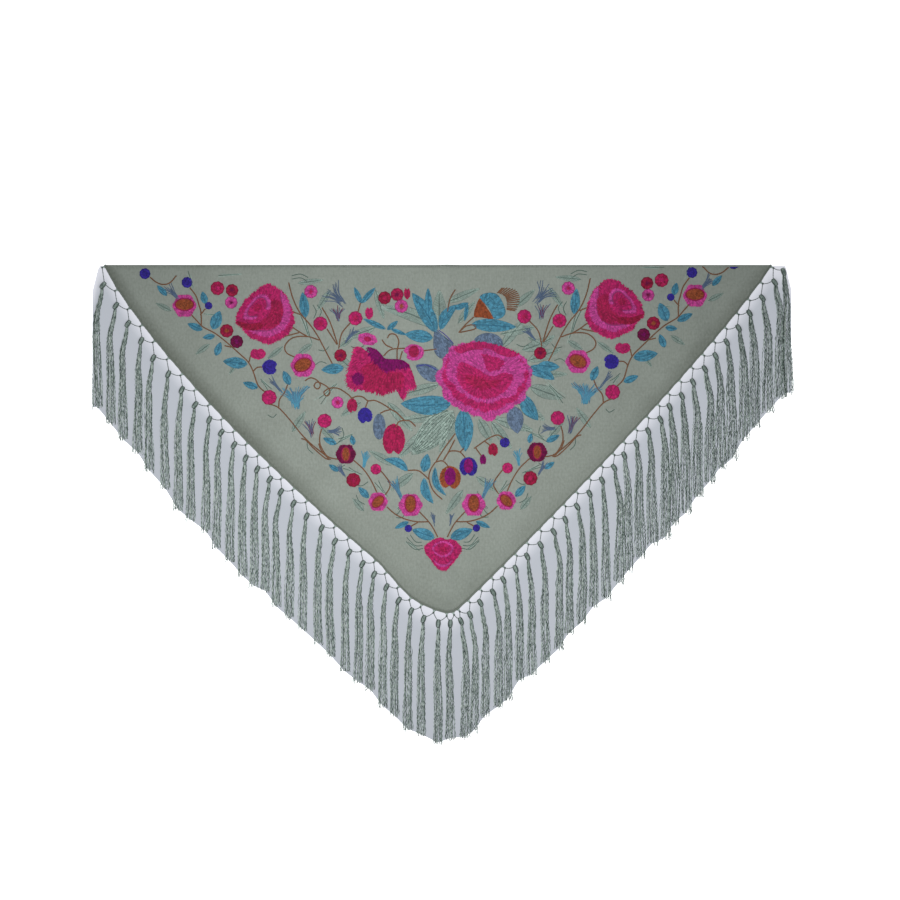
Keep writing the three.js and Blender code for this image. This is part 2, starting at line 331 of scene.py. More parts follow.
def tint(tree, principled, factor, dark, light, low, high):
    """Colour between a dark and a light shade, driven by a factor that runs from low to high."""
    ramp = tree.nodes.new("ShaderNodeValToRGB")
    ends = ramp.color_ramp.elements
    ends[0].position = low
    ends[0].color = linear(dark)
    ends[1].position = high
    ends[1].color = linear(light)
    tree.links.new(factor, ramp.inputs["Fac"])
    tree.links.new(ramp.outputs["Color"], principled.inputs["Base Color"])
    return ramp.outputs["Color"]


def bump(tree, principled, height, distance):
    node = tree.nodes.new("ShaderNodeBump")
    set_inputs(node, {"Strength": 1.0, "Distance": distance})
    tree.links.new(height, node.inputs["Height"])
    tree.links.new(node.outputs["Normal"], principled.inputs["Normal"])


def shades(rgb, spread):
    """A darker and a lighter version of a colour."""
    dark = [c * (1 - DARKER * spread) for c in rgb]
    light = [min(255, c * (1 + LIGHTER * spread)) for c in rgb]
    return dark, light


def shade_attribute(tree):
    """The shade attribute: painted light and shade over random tone, on threads, yarns, cloth and ground.
    """
    node = tree.nodes.new("ShaderNodeAttribute")
    node.attribute_name = "shade"
    return node.outputs["Color"]


def shaded_noise(tree, scale, share):
    """The painted light and shade of the shade attribute mixed with a share of noise."""
    own = math_node(tree, "MULTIPLY", shade_attribute(tree), 1 - share)
    return math_node(tree, "ADD", own, math_node(tree, "MULTIPLY", noise(tree, scale, 2), share))


def cloth_material():
    """Plain woven crepe: faint slubs along both thread systems, with painted shade that darkens it towards
    the hems.
    """
    material, tree, principled = shader("woven_cloth", 0.85, 0.2, 0.1)
    warp_slubs = noise(tree, (520, 14, 1), 3)
    weft_slubs = noise(tree, (14, 520, 1), 3)
    slubs = math_node(tree, "ADD", warp_slubs, weft_slubs)
    clouds = noise(tree, (9, 9, 9), 5)
    flecks = noise(tree, (210, 130, 1), 2)
    # Painted shade near the hems and far corners, then slubs, clouds and flecks
    mixed = math_node(tree, "MULTIPLY", shade_attribute(tree), PAINTED_SHADE_SHARE)
    for texture, share in ((slubs, SLUB_SHARE), (clouds, CLOUD_SHARE), (flecks, FLECK_SHARE)):
        mixed = math_node(tree, "ADD", mixed, math_node(tree, "MULTIPLY", texture, share))
    tint(tree, principled, mixed, DARK_CLOTH, LIGHT_CLOTH, 0.2, 1.0)
    warp = stripes(tree, (WEAVE_BANDS, 0, 0), "X")
    weft = stripes(tree, (0, WEAVE_BANDS, 0), "Y")
    weave = math_node(tree, "ADD", warp, weft)
    bump(tree, principled, math_node(tree, "ADD", weave, slubs), WEAVE_BUMP)
    return material


def thread_material(name, rgb, spread=0.36):
    """Embroidery thread: silky fibre, with a painted highlight along the top of each stitch and painted
    shade at its sides.
    """
    material, tree, principled = shader(name, 0.6, 0.14, 0.0)
    mottled = shaded_noise(tree, (230, 230, 230), 0.35)
    tint(tree, principled, mottled, *shades(rgb, spread), 0.15, 0.85)
    bump(tree, principled, noise(tree, (1900, 1900, 1900), 1), THREAD_BUMP)
    return material


def yarn_material(name, dark, light):
    """Crimped fringe yarn, with random flecks and a painted highlight where its crimps rise."""
    material, tree, principled = shader(name, 0.6, 0.2, 0.0)
    mottled = shaded_noise(tree, (190, 130, 190), 0.6)
    tint(tree, principled, mottled, dark, light, 0.34, 0.66)
    bump(tree, principled, noise(tree, (1500, 1500, 1500), 1), YARN_BUMP)
    return material


# How much each texture counts in the cloth's tone
PAINTED_SHADE_SHARE = 0.35
SLUB_SHARE = 0.1
CLOUD_SHARE = 0.2
FLECK_SHARE = 0.3

# Bands a metre of the weave, and the depth of each relief in metres
WEAVE_BANDS = 290
WEAVE_BUMP = 0.00025
THREAD_BUMP = 0.0001
YARN_BUMP = 0.0002

# How far a thread's shades part from its colour
DARKER = 1.15
LIGHTER = 0.95

DARK_CLOTH = (84, 89, 78)
LIGHT_CLOTH = (170, 178, 169)
DARK_GROUND = (113, 116, 121)
LIGHT_GROUND = (139, 140, 145)
FLOOR_WHITE = (240, 241, 244)
SKY = (0.93, 0.95, 1.0, 1)
THREADS = {
    "light_pink": (164, 60, 124),
    "pink": (154, 32, 86),
    "crimson": (141, 27, 68),
    "red": (128, 24, 54),
    "burgundy": (92, 15, 56),
    "purple": (102, 12, 78),
    "magenta": (114, 16, 90),
    "blue": (46, 36, 122),
    "teal": (66, 118, 138),
    "deep_teal": (42, 88, 110),
    "slate": (87, 103, 123),
    "dusk": (70, 84, 104),
    "rust": (126, 66, 40),
    "brown": (98, 70, 52),
    "sage": (128, 143, 135),
    # A darker thread laid as painted shadow beside the tone-on-tone stitching
    "sage_painted_shadow": (62, 82, 75),
}
THREAD_NAMES = list(THREADS)


# Mesh building


def add_object(name, data):
    item = bpy.data.objects.new(name, data)
    bpy.context.scene.collection.objects.link(item)
    return item


class Piece:
    """Gathers the faces of one mesh. Points are (x, depth, height) in millimetres."""

    def __init__(self):
        self.points = []
        self.faces = []
        self.slots = []
        self.shades = []
        self.count = 0

    def add(self, points, faces, slot=0, shade=0.5):
        points = np.asarray(points, float).reshape(-1, 3)
        self.points.append(points)
        self.shades.append(np.broadcast_to(shade, len(points)))
        for group in faces:
            group = np.asarray(group) + self.count
            self.faces.extend(group.tolist())
            self.slots.append(np.broadcast_to(slot, len(group)))
        self.count += len(points)

    def build(self, name, materials, smooth=True):
        mesh = bpy.data.meshes.new(name)
        # The depth axis runs against +Y, which turns the faces over
        faces = [face[::-1] for face in self.faces]
        mesh.from_pydata(place(np.concatenate(self.points)).tolist(), [], faces)
        mesh.polygons.foreach_set("material_index", np.concatenate(self.slots).astype(np.int32))
        mesh.polygons.foreach_set("use_smooth", [smooth] * len(faces))
        for material in materials:
            mesh.materials.append(material)
        shade = np.concatenate(self.shades)
        colours = np.column_stack([shade, shade, shade, np.ones(len(shade))])
        attribute = mesh.color_attributes.new("shade", "FLOAT_COLOR", "POINT")
        attribute.data.foreach_set("color", colours.ravel())
        mesh.update()
        return add_object(name, mesh)


def grid_faces(columns, rows):
    """Quads of a grid of points that runs down each column in turn."""
    i, j = np.meshgrid(np.arange(columns), np.arange(rows), indexing="ij")
    a = (i * (rows + 1) + j).ravel()
    return np.stack([a, a + rows + 1, a + rows + 2, a + 1], axis=1)


def sweep(piece, path, width, height, sides, up=None, slot=0, shade=0.5):
    """A closed strand along a path, with a width, a height and a shade at each station."""
    path = np.asarray(path, float)
    count = len(path)
    along = np.gradient(path, axis=0)
    along /= np.linalg.norm(along, axis=1, keepdims=True)
    if up is None:
        up = np.broadcast_to([0.0, 0.0, 1.0], path.shape)
    across = np.cross(along, up)
    across /= np.linalg.norm(across, axis=1, keepdims=True)
    above = np.cross(across, along)
    turn = np.arange(sides) * 2 * math.pi / sides
    wide = np.broadcast_to(width, count)[:, None, None] / 2
    tall = np.broadcast_to(height, count)[:, None, None] / 2
    ring = across[:, None] * wide * np.cos(turn)[None, :, None]
    ring = ring + above[:, None] * tall * np.sin(turn)[None, :, None]
    points = (path[:, None] + ring).reshape(-1, 3)
    i, k = np.meshgrid(np.arange(count - 1), np.arange(sides), indexing="ij")
    a = (i * sides + k).ravel()
    b = (i * sides + (k + 1) % sides).ravel()
    walls = np.stack([a, b, b + sides, a + sides], axis=1)
    ends = [np.arange(sides)[::-1], (count - 1) * sides + np.arange(sides)]
    piece.add(points, [walls, ends], slot, np.repeat(np.broadcast_to(shade, count), sides))


def curve_through(points, steps, closed=False):
    """A smooth curve through given points."""
    p = np.array(points, float)
    count = len(p)
    spans = count if closed else count - 1
    index = np.arange(-1, spans + 2)
    index = index % count if closed else np.clip(index, 0, count - 1)
    p = p[index]
    t = (np.arange(steps) / steps)[:, None]
    curve = []
    for n in range(spans):
        a, b, c, d = p[n : n + 4]
        bend = (2 * a - 5 * b + 4 * c - d) * t**2 + (3 * b - a - 3 * c + d) * t**3
        curve.append(0.5 * (2 * b + (c - a) * t + bend))
    if not closed:
        curve.append(p[-2:-1])
    return np.concatenate(curve)


# Cloth and hem


def side_stations(side, inset, count):
    """x stations from a corner to the point, close together near both ends."""
    corner = corner_x(side, inset, CORNER_HEIGHT)
    eased = (1 - np.cos(np.linspace(0, math.pi, count))) / 2
    share = eased * CLOSE_AT_ENDS + np.linspace(0, 1, count) * (1 - CLOSE_AT_ENDS)
    return corner + (POINT_X - corner) * share


def cloth_painted_shade(x, depth):
    """Painted shade of the cloth: darker near its hems, most of all towards the far corners, where the
    light falls off.
    """
    from_long_edge = LONG_EDGE_RATE * (depth + 8)
    inside_hem = np.minimum(edge_depth(x) - depth, from_long_edge) * HEM_SLANT
    left = 0.58 * smooth_step((-x - 100) / 350)
    right = 0.28 * smooth_step((x - 350) / 250)
    at_hem = 0.78 - left - right
    return at_hem + (1 - at_hem) * smooth_step(inside_hem / PAINTED_SHADE_MARGIN)


def make_cloth():
    """The shell: an upper and a lower face over one grid, joined round the edge."""
    inset = HEM_WIDTH * 0.5
    left = side_stations(-1, inset, CLOTH_COLUMNS)
    columns = np.concatenate([left, side_stations(1, inset, CLOTH_COLUMNS)[-2::-1]])
    shares = np.linspace(0, 1, CLOTH_ROWS + 1) ** 0.96
    x, share = np.meshgrid(columns, shares, indexing="ij")
    depth = inset_depth(x, inset) * share
    upper = np.stack([x, depth, cloth_top(x, depth)], axis=-1).reshape(-1, 3)
    lower = upper - [0, 0, CLOTH_THICK]
    lower[:, 2] = np.maximum(lower[:, 2] - UNDER_SAG, 0)
    faces = grid_faces(len(columns) - 1, CLOTH_ROWS)
    last = len(upper)
    number = np.arange(last).reshape(len(columns), CLOTH_ROWS + 1)
    a = np.concatenate([number[:, 0], number[-1, 1:], number[-2::-1, -1], number[0, -2:0:-1]])
    b = np.roll(a, -1)
    rim = np.stack([b, a, a + last, b + last], axis=1)
    # Painted shade, darker near the hems and the far corners
    painted_shade = np.tile(cloth_painted_shade(x, depth).ravel(), 2)
    piece = Piece()
    piece.add(np.concatenate([upper, lower]), [faces, faces[:, ::-1] + last, rim], shade=painted_shade)
    return piece.build("cloth", [cloth_material()])


def root_x(index):
    """Where the fringe is rooted, counted from the left corner to the right one."""
    if index <= 0:
        return corner_x(-1, 0, HEM_WIDTH)
    if index >= LAST_ROOT:
        return corner_x(1, 0, HEM_WIDTH)
    by_point = index - LEFT_ROOTS + 1
    if 0 <= by_point < len(ROOTS_BY_POINT):
        return POINT_X + ROOTS_BY_POINT[by_point]
    if by_point < 0:
        start = -HALF_WIDTH
        end = POINT_X + ROOTS_BY_POINT[0]
        share = index / (LEFT_ROOTS - 1)
    else:
        start = POINT_X + ROOTS_BY_POINT[-1]
        end = HALF_WIDTH
        share = (by_point - len(ROOTS_BY_POINT) + 1) / (RIGHT_ROOTS - len(ROOTS_BY_POINT) + 1)
    x = start + (end - start) * share + ROOT_UNEVEN * uneven(index, 1)
    for drift in ROOT_DRIFTS:
        along = (index - drift["start"]) / (drift["end"] - drift["start"])
        if 0 < along < 1:
            x += drift["shift"] * math.sin(math.pi * along) ** 2
    return x


def edge_point(x):
    return np.array([x, edge_depth(x)])


def make_hem(side, material):
    """A rolled hem with whipping stitches, drawn outwards a little at each root."""
    x = side_stations(side, 0, HEM_STATIONS)
    depth = edge_depth(x) - HEM_WIDTH * 0.55 * np.hypot(1, edge_slope(x))
    depth = np.maximum(depth, 1.5)
    pulled = np.zeros(len(x))
    for index in range(LAST_ROOT + 1):
        pulled += np.exp(-(((x - root_x(index)) / ROOT_PULL_WIDTH) ** 2))
    directions = np.array([outward(v) for v in x])
    run = np.cumsum(np.hypot(np.gradient(x), np.gradient(depth)))
    roll = 1 + 0.1 * np.sin(run * 2 * math.pi / WHIPPING_STEP)
    flat = np.stack([x, depth], axis=1) + directions * (pulled * ROOT_PULL)[:, None]
    path = np.column_stack([flat, np.full(len(x), HEM_HEIGHT / 2)])
    piece = Piece()
    sweep(piece, path, HEM_WIDTH * 1.1 * roll, HEM_HEIGHT * roll, 8)
    return piece.build("hem_left" if side < 0 else "hem_right", [material])


# Fringe


def make_root(piece, x):
    """A gathered peak of cloth with the bundle that leaves it, and a small knot at its end."""
    out = outward(x)
    base = edge_point(x)
    reach = np.array([-3, 0, 2.5, 5, ROOT_LENGTH])
    width = np.array([11, 9, 5.5, 3.2, 2.8])
    height = np.array([0.8, 1.4, 2.2, 2.6, 2.6])
    flat = base + reach[:, None] * out
    sweep(piece, np.column_stack([flat, height / 2 + 0.3]), width, height, 6, slot=1)
    knot = base + (ROOT_LENGTH - 1) * out
    ball = np.array([-2.4, -1.3, 0, 1.3, 2.4])
    size = np.array([1.5, 4.2, 5, 4.2, 1.5])
    path = np.column_stack([knot + ball[:, None] * out, np.full(len(ball), ROOT_KNOT_LEVEL)])
    sweep(piece, path, size, size * 0.85, 8, slot=2)


def make_net_strand(piece, start, end):
    """One side of a mesh: two plies twisted round each other."""
    ply_offset = 0.45
    twists = 2.5
    sag = 2.5
    low_end = 1.6
    knot_end_rise = 2.8
    t = np.linspace(0, 1, 9)
    flat = start + (end - start) * t[:, None]
    flat[:, 1] += sag * np.sin(math.pi * t)
    heights = low_end + knot_end_rise * smooth_step((t - 0.6) / 0.4)
    direction = (end - start) / np.hypot(*(end - start))
    side = np.array([-direction[1], direction[0]])
    for phase in (0, math.pi):
        turn = t * twists * 2 * math.pi + phase
        shift = ply_offset * np.sin(turn)[:, None] * side
        path = np.column_stack([flat + shift, heights + ply_offset * np.cos(turn)])
        sweep(piece, path, PLY_WIDTH, PLY_HEIGHT, 4, slot=2)


def knot_form(share):
    """How full a wrapped knot is at a share of its length: blunt at both ends."""
    return np.sin(math.pi * (0.1 + 0.8 * share)) ** 0.4


def make_knot(piece, top, direction):
    """A wrapped knot: a dark core with turns of pale yarn that show along its top."""
    turns = 7
    turned_span = 0.72
    first_turn = (1 - turned_span) / 2
    t = np.linspace(0, 1, 9)
    core = top + direction * (KNOT_LENGTH * t)[:, None]
    middle = KNOT_HEIGHT / 2 + 0.4
    path = np.column_stack([core, np.full(len(t), middle)])
    sweep(piece, path, KNOT_WIDTH * knot_form(t), KNOT_HEIGHT * 0.9 * knot_form(t), 10, slot=2)
    side = np.array([-direction[1], direction[0]])
    angle = np.linspace(-0.5, 0.5, 7)
    slant = direction * 2.2
    over_the_top = np.column_stack([np.sin(angle)[:, None] * side, np.cos(angle)])
    for turn in range(turns):
        at = first_turn + turned_span * turn / (turns - 1)
        radius = KNOT_WIDTH / 2 * knot_form(at)
        flat = top + direction * KNOT_LENGTH * at
        flat = flat + radius * np.sin(angle)[:, None] * side + angle[:, None] * slant
        path = np.column_stack([flat, middle + 0.9 * radius * np.cos(angle) * 0.92])
        sweep(piece, path, 2.0, 1.5, 4, up=over_the_top, slot=1)


# The yarns of a tassel
STRANDS_PER_TASSEL = 14
STRAYS_PER_TASSEL = 3
STRAY_LANE = 1.08
FAN_OUT = 0.3
FAN_FROM_X = 380
YARN_STEP = 4.6
YARN_WIDTH = 1.8
YARN_HEIGHT = 1.4
YARN_SHADES = (0, 1, 0, 2, 1)
LOWEST_YARN = 0.9
BUNDLE_HEIGHT = 4.6
CUT_UNEVEN = 5
CRIMP_PERIOD = 7.5
DRIFT = 0.17
FLECK = 0.3

# Half the width of a tassel at some depths below its start
TASSEL_FORM = table("below half_width", [
    (0, 2.4),
    (24, 4.7),
    (95, 7.0),
    (290, 10.2),
])


def tassel_start(knot):
    return knot["top"] + knot["direction"] * (KNOT_LENGTH - LOCK_TUCK)


def tassel_length(knot):
    return TASSEL_LENGTH + knot["extra"] + TASSEL_UNEVEN * uneven(knot["index"], 4)


def make_tassel(piece, knot):
    """Crimped yarns that leave a knot close together, swing outwards and hang straight down."""
    index = knot["index"]
    swing = TASSEL_SWING * knot["direction"][0]
    sway = TASSEL_SWAY * uneven(index, 5)
    length = tassel_length(knot)
    start = tassel_start(knot)
    form_depths = [s["below"] for s in TASSEL_FORM]
    form_widths = [s["half_width"] for s in TASSEL_FORM]
    fan = 1 + FAN_OUT * smooth_step((knot["top"][0] - FAN_FROM_X) / 120)
    for n in range(STRANDS_PER_TASSEL + STRAYS_PER_TASSEL):
        cut = length + CUT_UNEVEN * uneven(index * 31 + n, 8)
        depth = np.arange(0, cut, YARN_STEP)
        lane = 2 * (n + 0.5) / STRANDS_PER_TASSEL - 1 + 0.1 * uneven(index * 17 + n, 9)
        if n >= STRANDS_PER_TASSEL:
            depth = np.arange(60 + 80 * abs(uneven(index * 11 + n, 6)), cut, YARN_STEP)
            lane = (STRAY_LANE + 0.1 * uneven(index * 19 + n, 2)) * (-1) ** n
        level = (n * 7 % STRANDS_PER_TASSEL) / STRANDS_PER_TASSEL
        half_width = np.interp(depth, form_depths, form_widths) * fan
        swayed = sway * smooth_step(depth / 95) * smooth_step((length - depth) / 180)
        centre = swing * smooth_step(depth / 75) + swayed
        drift_length = 30 + 9 * uneven(index * 7 + n, 3)
        drift = DRIFT * half_width * np.sin(depth / drift_length + 40 * level + index)
        period = CRIMP_PERIOD + 2.2 * uneven(index * 13 + n, 7)
        crimp = depth * 2 * math.pi / period + 9 * level
        rise = np.cos(crimp * 1.3)
        # Painted highlight on each crimp's crest, with random flecks
        flecks = 0.5 + 0.22 * rise + random_values(len(depth), -FLECK, FLECK)
        crimp_width = 0.3 + 0.8 * smooth_step(depth / 40)
        x = start[0] + centre + lane * half_width + drift + crimp_width * np.sin(crimp)
        z = 1.0 + BUNDLE_HEIGHT * level * (1 - 0.5 * lane**2) + 0.6 * rise
        path = np.column_stack([x, start[1] + depth, np.maximum(z, LOWEST_YARN)])
        slot = YARN_SHADES[n % len(YARN_SHADES)]
        sweep(piece, path, YARN_WIDTH, YARN_HEIGHT, 3, slot=slot, shade=flecks)


def knot_after(index):
    """The knot between a root and the next one, or off the right-hand corner after the last."""
    if index < LAST_ROOT:
        x = (root_x(index) + root_x(index + 1)) / 2
        out = outward(x)
        top = edge_point(x) + out * (KNOT_OFFSET + KNOT_OFFSET_UNEVEN * uneven(index, 2))
        lean = math.atan2(out[0], out[1]) * KNOT_TILT_SHARE + KNOT_TILT_UNEVEN * uneven(index, 3)
    else:
        top = np.array([HALF_WIDTH + CORNER_KNOT_REACH[0], -CORNER_KNOT_REACH[1]])
        lean = CORNER_KNOT_LEAN
    direction = np.array([math.sin(lean), math.cos(lean)])
    extra = CORNER_TASSEL_EXTRA if index in (0, LAST_ROOT) else 0
    return dict(index=index, top=top, direction=direction, extra=extra, tuck=top + direction * KNOT_TUCK)


def make_fringe(side, yarns):
    """The net, knots and tassels of one side. The knot below the point belongs to the left side."""
    name = "left" if side < 0 else "right"
    first = 0 if side < 0 else LEFT_ROOTS
    last = LEFT_ROOTS - 1 if side < 0 else LAST_ROOT
    net = Piece()
    halves = [Piece(), Piece()]
    for index in range(first, last + 1):
        make_root(net, root_x(index))
        knot = knot_after(index)
        for root in range(index, min(index + 1, LAST_ROOT) + 1):
            x = root_x(root)
            make_net_strand(net, edge_point(x) + outward(x) * (ROOT_LENGTH - 1), knot["tuck"])
        make_knot(net, knot["top"], knot["direction"])
        make_tassel(halves[2 * (index - first) // (last - first + 1)], knot)
    pieces = [net.build(f"net_{name}", yarns)]
    for number, half in enumerate(halves, 1):
        pieces.append(half.build(f"tassels_{name}_{number}", yarns))
    return pieces


# Stitches


# Corners of a stitch, two end points with two sections between, and the painted shade of each: a painted
# highlight along its top, painted shade at its sides and more at its ends
STITCH_FORM = table("share across rise shade", [
    (0, 0, 0, 0.12),
    (0.14, -1, 0, 0.42),
    (0.14, 0, 1, 0.75),
    (0.14, 1, 0, 0.42),
    (0.86, -1, 0, 0.42),
    (0.86, 0, 1, 0.75),
    (0.86, 1, 0, 0.42),
    (1, 0, 0, 0.12),
])
STITCH_FACES = [
    (0, 2, 1),
    (0, 3, 2),
    (0, 1, 3),
    (1, 2, 5, 4),
    (2, 3, 6, 5),
    (3, 1, 4, 6),
    (7, 4, 5),
    (7, 5, 6),
    (7, 6, 4),
]


def sideways(along):
    """Directions of length 1 at right angles to those given."""
    side = np.stack([-along[:, 1], along[:, 0]], axis=1)
    return side / np.maximum(np.hypot(*side.T), 0.01)[:, None]


def turned_from(spokes, direction):
    """Angles of the spokes from a direction, between minus and plus half a turn."""
    return np.angle(np.exp(1j * (np.arctan2(spokes[:, 1], spokes[:, 0]) - direction)))


class Stitches:
    """Gathers stitches, each a rounded length of thread between two points of the cloth.

    A stitch that lies wholly below the pad of a higher petal is left out.
    """

    def __init__(self, raised=0.0):
        self.raised = raised
        self.rows = []
        self.pads = []

    def add(self, start, end, colour, layer, width=THREAD, lift=STITCH_LIFT, shade=0.0):
        start = np.asarray(start, float).reshape(-1, 2)
        end = np.asarray(end, float).reshape(-1, 2)
        facts = [THREAD_NAMES.index(colour), layer + self.raised, width, lift]
        facts = np.broadcast_to(facts, (len(start), len(facts)))
        self.rows.append(np.column_stack([start, end, facts, np.broadcast_to(shade, len(start))]))

    def add_pad(self, outline, colour, layer):
        """Underlay: a low cushion of the same thread below the stitches of a petal or leaf, painted dark as
        the shadow between them.
        """
        self.pads.append((outline, THREAD_NAMES.index(colour), layer + self.raised))

    def uncovered_rows(self):
        rows = np.concatenate(self.rows)
        for outline, _, layer in self.pads:
            below = rows[:, 5] < layer - SAME_LAYER
            below[below] = inside(rows[below, :2], outline) & inside(rows[below, 2:4], outline)
            rows = rows[~below]
        return rows

    def build(self, name):
        rows = self.uncovered_rows()
        colours = rows[:, 4].astype(int)
        used = sorted(set(colours))
        slot = np.array([used.index(c) for c in colours])
        start, end = rows[:, :2], rows[:, 2:4]
        layer, width, lift, shade = rows[:, 5:].T
        along = end - start
        side = sideways(along) * (width[:, None] / 2)
        shade = shade + random_values(len(rows), -STITCH_UNEVEN, STITCH_UNEVEN)
        corners = []
        for corner in STITCH_FORM:
            flat = start + along * corner["share"] + side * corner["across"]
            base = cloth_top(flat[:, 0], flat[:, 1]) + layer
            bed = -STITCH_BED if corner["share"] in (0, 1) else STITCH_BED
            corners.append(np.column_stack([flat, base + bed + lift * corner["rise"]]))
        offset = np.arange(len(rows))[:, None] * len(STITCH_FORM)
        faces = [np.array(face) + offset for face in STITCH_FACES]
        # Painted highlight along each stitch's top and painted shade at its sides and ends, over its
        # bundle's random tone
        shade = np.stack([shade + corner["shade"] for corner in STITCH_FORM], axis=1)
        piece = Piece()
        piece.add(np.stack(corners, axis=1), faces, slot, shade.ravel())
        for outline, colour, pad_layer in self.pads:
            add_cushion(piece, outline, pad_layer, used.index(colour))
        return piece.build(name, [thread_materials[THREAD_NAMES[c]] for c in used], smooth=False)


def inside(points, outline):
    """Which points lie inside a closed outline."""
    x, y = points[..., 0], points[..., 1]
    hit = np.zeros(x.shape, bool)
    for (x0, y0), (x1, y1) in zip(outline, np.roll(outline, -1, axis=0)):
        if y0 == y1:
            continue
        crosses = (y0 > y) != (y1 > y)
        hit ^= crosses & (x < (x1 - x0) * (y - y0) / (y1 - y0) + x0)
    return hit


def add_cushion(piece, outline, layer, slot):
    """A flat-topped cushion that follows the cloth inside an outline."""
    following = np.roll(outline, -1, axis=0)
    turned_area = np.sum(outline[:, 0] * following[:, 1] - following[:, 0] * outline[:, 1])
    if turned_area < 0:
        outline = outline[::-1]
    low = outline.min(axis=0)
    high = outline.max(axis=0)
    steps = [np.arange(low[axis], high[axis], PAD_CELL) for axis in (0, 1)]
    across, down = np.meshgrid(*steps)
    inner = np.stack([across.ravel(), down.ravel()], axis=1)
    inner = inner[inside(inner, outline)]
    gaps = np.hypot(*(inner[:, None] - outline[None]).transpose(2, 0, 1)).min(axis=1)
    inner = inner[gaps > PAD_CELL * 0.4]
    flat = [Vector(p) for p in np.concatenate([outline, inner])]
    found = delaunay_2d_cdt(flat, [], [list(range(len(outline)))], 1, 1e-4)
    flat = np.array(found[0])
    top = cloth_top(flat[:, 0], flat[:, 1]) + layer + PAD_HEIGHT
    # The pad is painted dark, as shadow showing between the stitches above it
    piece.add(np.column_stack([flat, top]), [found[2]], slot, PAD_PAINTED_SHADOW)
    rim = cloth_top(outline[:, 0], outline[:, 1])
    upper = np.column_stack([outline, rim + layer + PAD_HEIGHT])
    lower = np.column_stack([outline, rim - STITCH_BED])
    count = len(outline)
    a = np.arange(count)
    b = (a + 1) % count
    wall = np.stack([a, a + count, b + count, b], axis=1)
    piece.add(np.concatenate([upper, lower]), [wall], slot, PAD_PAINTED_SHADOW)


def fill(bag, outline, focus, colour, layer=0.0, length=STITCH_LENGTH, ragged=0.0):
    """Long and short stitches over an outline, all pointing at a focus, in bundles of one shade."""
    outline = np.column_stack([outline[:, 0], np.maximum(outline[:, 1], TOP_EDGE_KEEP)])
    middle = outline.mean(axis=0)
    size = np.hypot(*(outline - middle).T).mean()
    pad_size = 1 - 0.7 * min(ragged, 6) / size
    bag.add_pad(middle + (outline - middle) * pad_size, colour, layer)
    focus = np.array(focus, float)
    spokes = outline - focus
    reach = np.hypot(*spokes.T)
    within = inside(focus[None], outline)[0]
    toward = math.atan2(*(middle - focus)[::-1])
    turns = turned_from(spokes, toward)
    low, high = (-math.pi, math.pi) if within else (turns.min() - 0.05, turns.max() + 0.05)
    samples = np.linspace(0, 1, 9)
    last_sample = len(samples) - 1
    ring = 0 if within else reach.min() - length
    while ring < reach.max():
        count = max(4, int((high - low) * (ring + length / 2) / THREAD))
        angle = toward + low + (np.arange(count) + rng.random()) * (high - low) / count
        ray = np.stack([np.cos(angle), np.sin(angle)], axis=1)
        bundles = random_values(count // BUNDLE + 1, -BUNDLE_SHADE, BUNDLE_SHADE)
        shade = np.repeat(bundles, BUNDLE)[:count]
        shift = random_values(count, -RING_UNEVEN, RING_UNEVEN) * length
        begin = np.maximum(ring + shift - length * RING_OVERLAP, 0.3)
        finish = ring + shift + length * (1 + RING_OVERLAP)
        radii = begin[:, None] + (finish - begin)[:, None] * samples
        hit = inside(focus + ray[:, None] * radii[..., None], outline)
        keep = hit.sum(axis=1) >= 2
        first = np.argmax(hit, axis=1)
        last = last_sample - np.argmax(hit[:, ::-1], axis=1)
        row = np.arange(count)
        cut_short = (last < last_sample) & (ragged > 0)
        past_edge = cut_short * random_values(count, -0.5, 1) * ragged
        start = focus + ray * radii[row, first][:, None]
        end = focus + ray * (radii[row, last] + past_edge)[:, None]
        bag.add(start[keep], end[keep], colour, layer, shade=shade[keep])
        ring += length


def round_outline(x, depth, rx, ry, tilt=0.0, ruffle=0.0, lobes=7):
    """An ellipse, tilted in degrees, whose edge may be ruffled."""
    t = np.linspace(0, 2 * math.pi, 48, endpoint=False)
    swell = 1 + ruffle * np.cos(lobes * t)
    u = rx * np.cos(t) * swell
    v = ry * np.sin(t) * swell
    cos = math.cos(math.radians(tilt))
    sin = math.sin(math.radians(tilt))
    return np.stack([x + u * cos - v * sin, depth + u * sin + v * cos], axis=1)


def leaf_form(share):
    """How broad a leaf is at a share of its length."""
    return np.sin(math.pi * share**0.85) ** 0.75


def leaf_outline(base, tip, width, bend=0.0):
    """A pointed leaf from base to tip; bend moves its middle sideways, as a share of its length."""
    base = np.array(base, float)
    tip = np.array(tip, float)
    t = np.linspace(0, 1, 14)
    axis = tip - base
    length = np.hypot(*axis)
    side = np.array([-axis[1], axis[0]]) / length
    middle = base + axis * t[:, None] + side * (bend * length * np.sin(math.pi * t))[:, None]
    half = side * (width / 2 * leaf_form(t))[:, None]
    return middle, np.concatenate([middle + half, (middle - half)[-2:0:-1]])


def leaf(bag, base, tip, width, colour="teal", bend=0.0, rib="deep_teal"):
    """A leaf of stitches that run from its base to its tip, with a darker rib."""
    middle, outline = leaf_outline(base, tip, width, bend)
    behind = np.array(base) - 0.8 * (np.array(tip) - np.array(base))
    fill(bag, outline, behind, colour)
    if rib:
        stem(bag, middle[1:-2], rib, rows=1, layer=0.35)


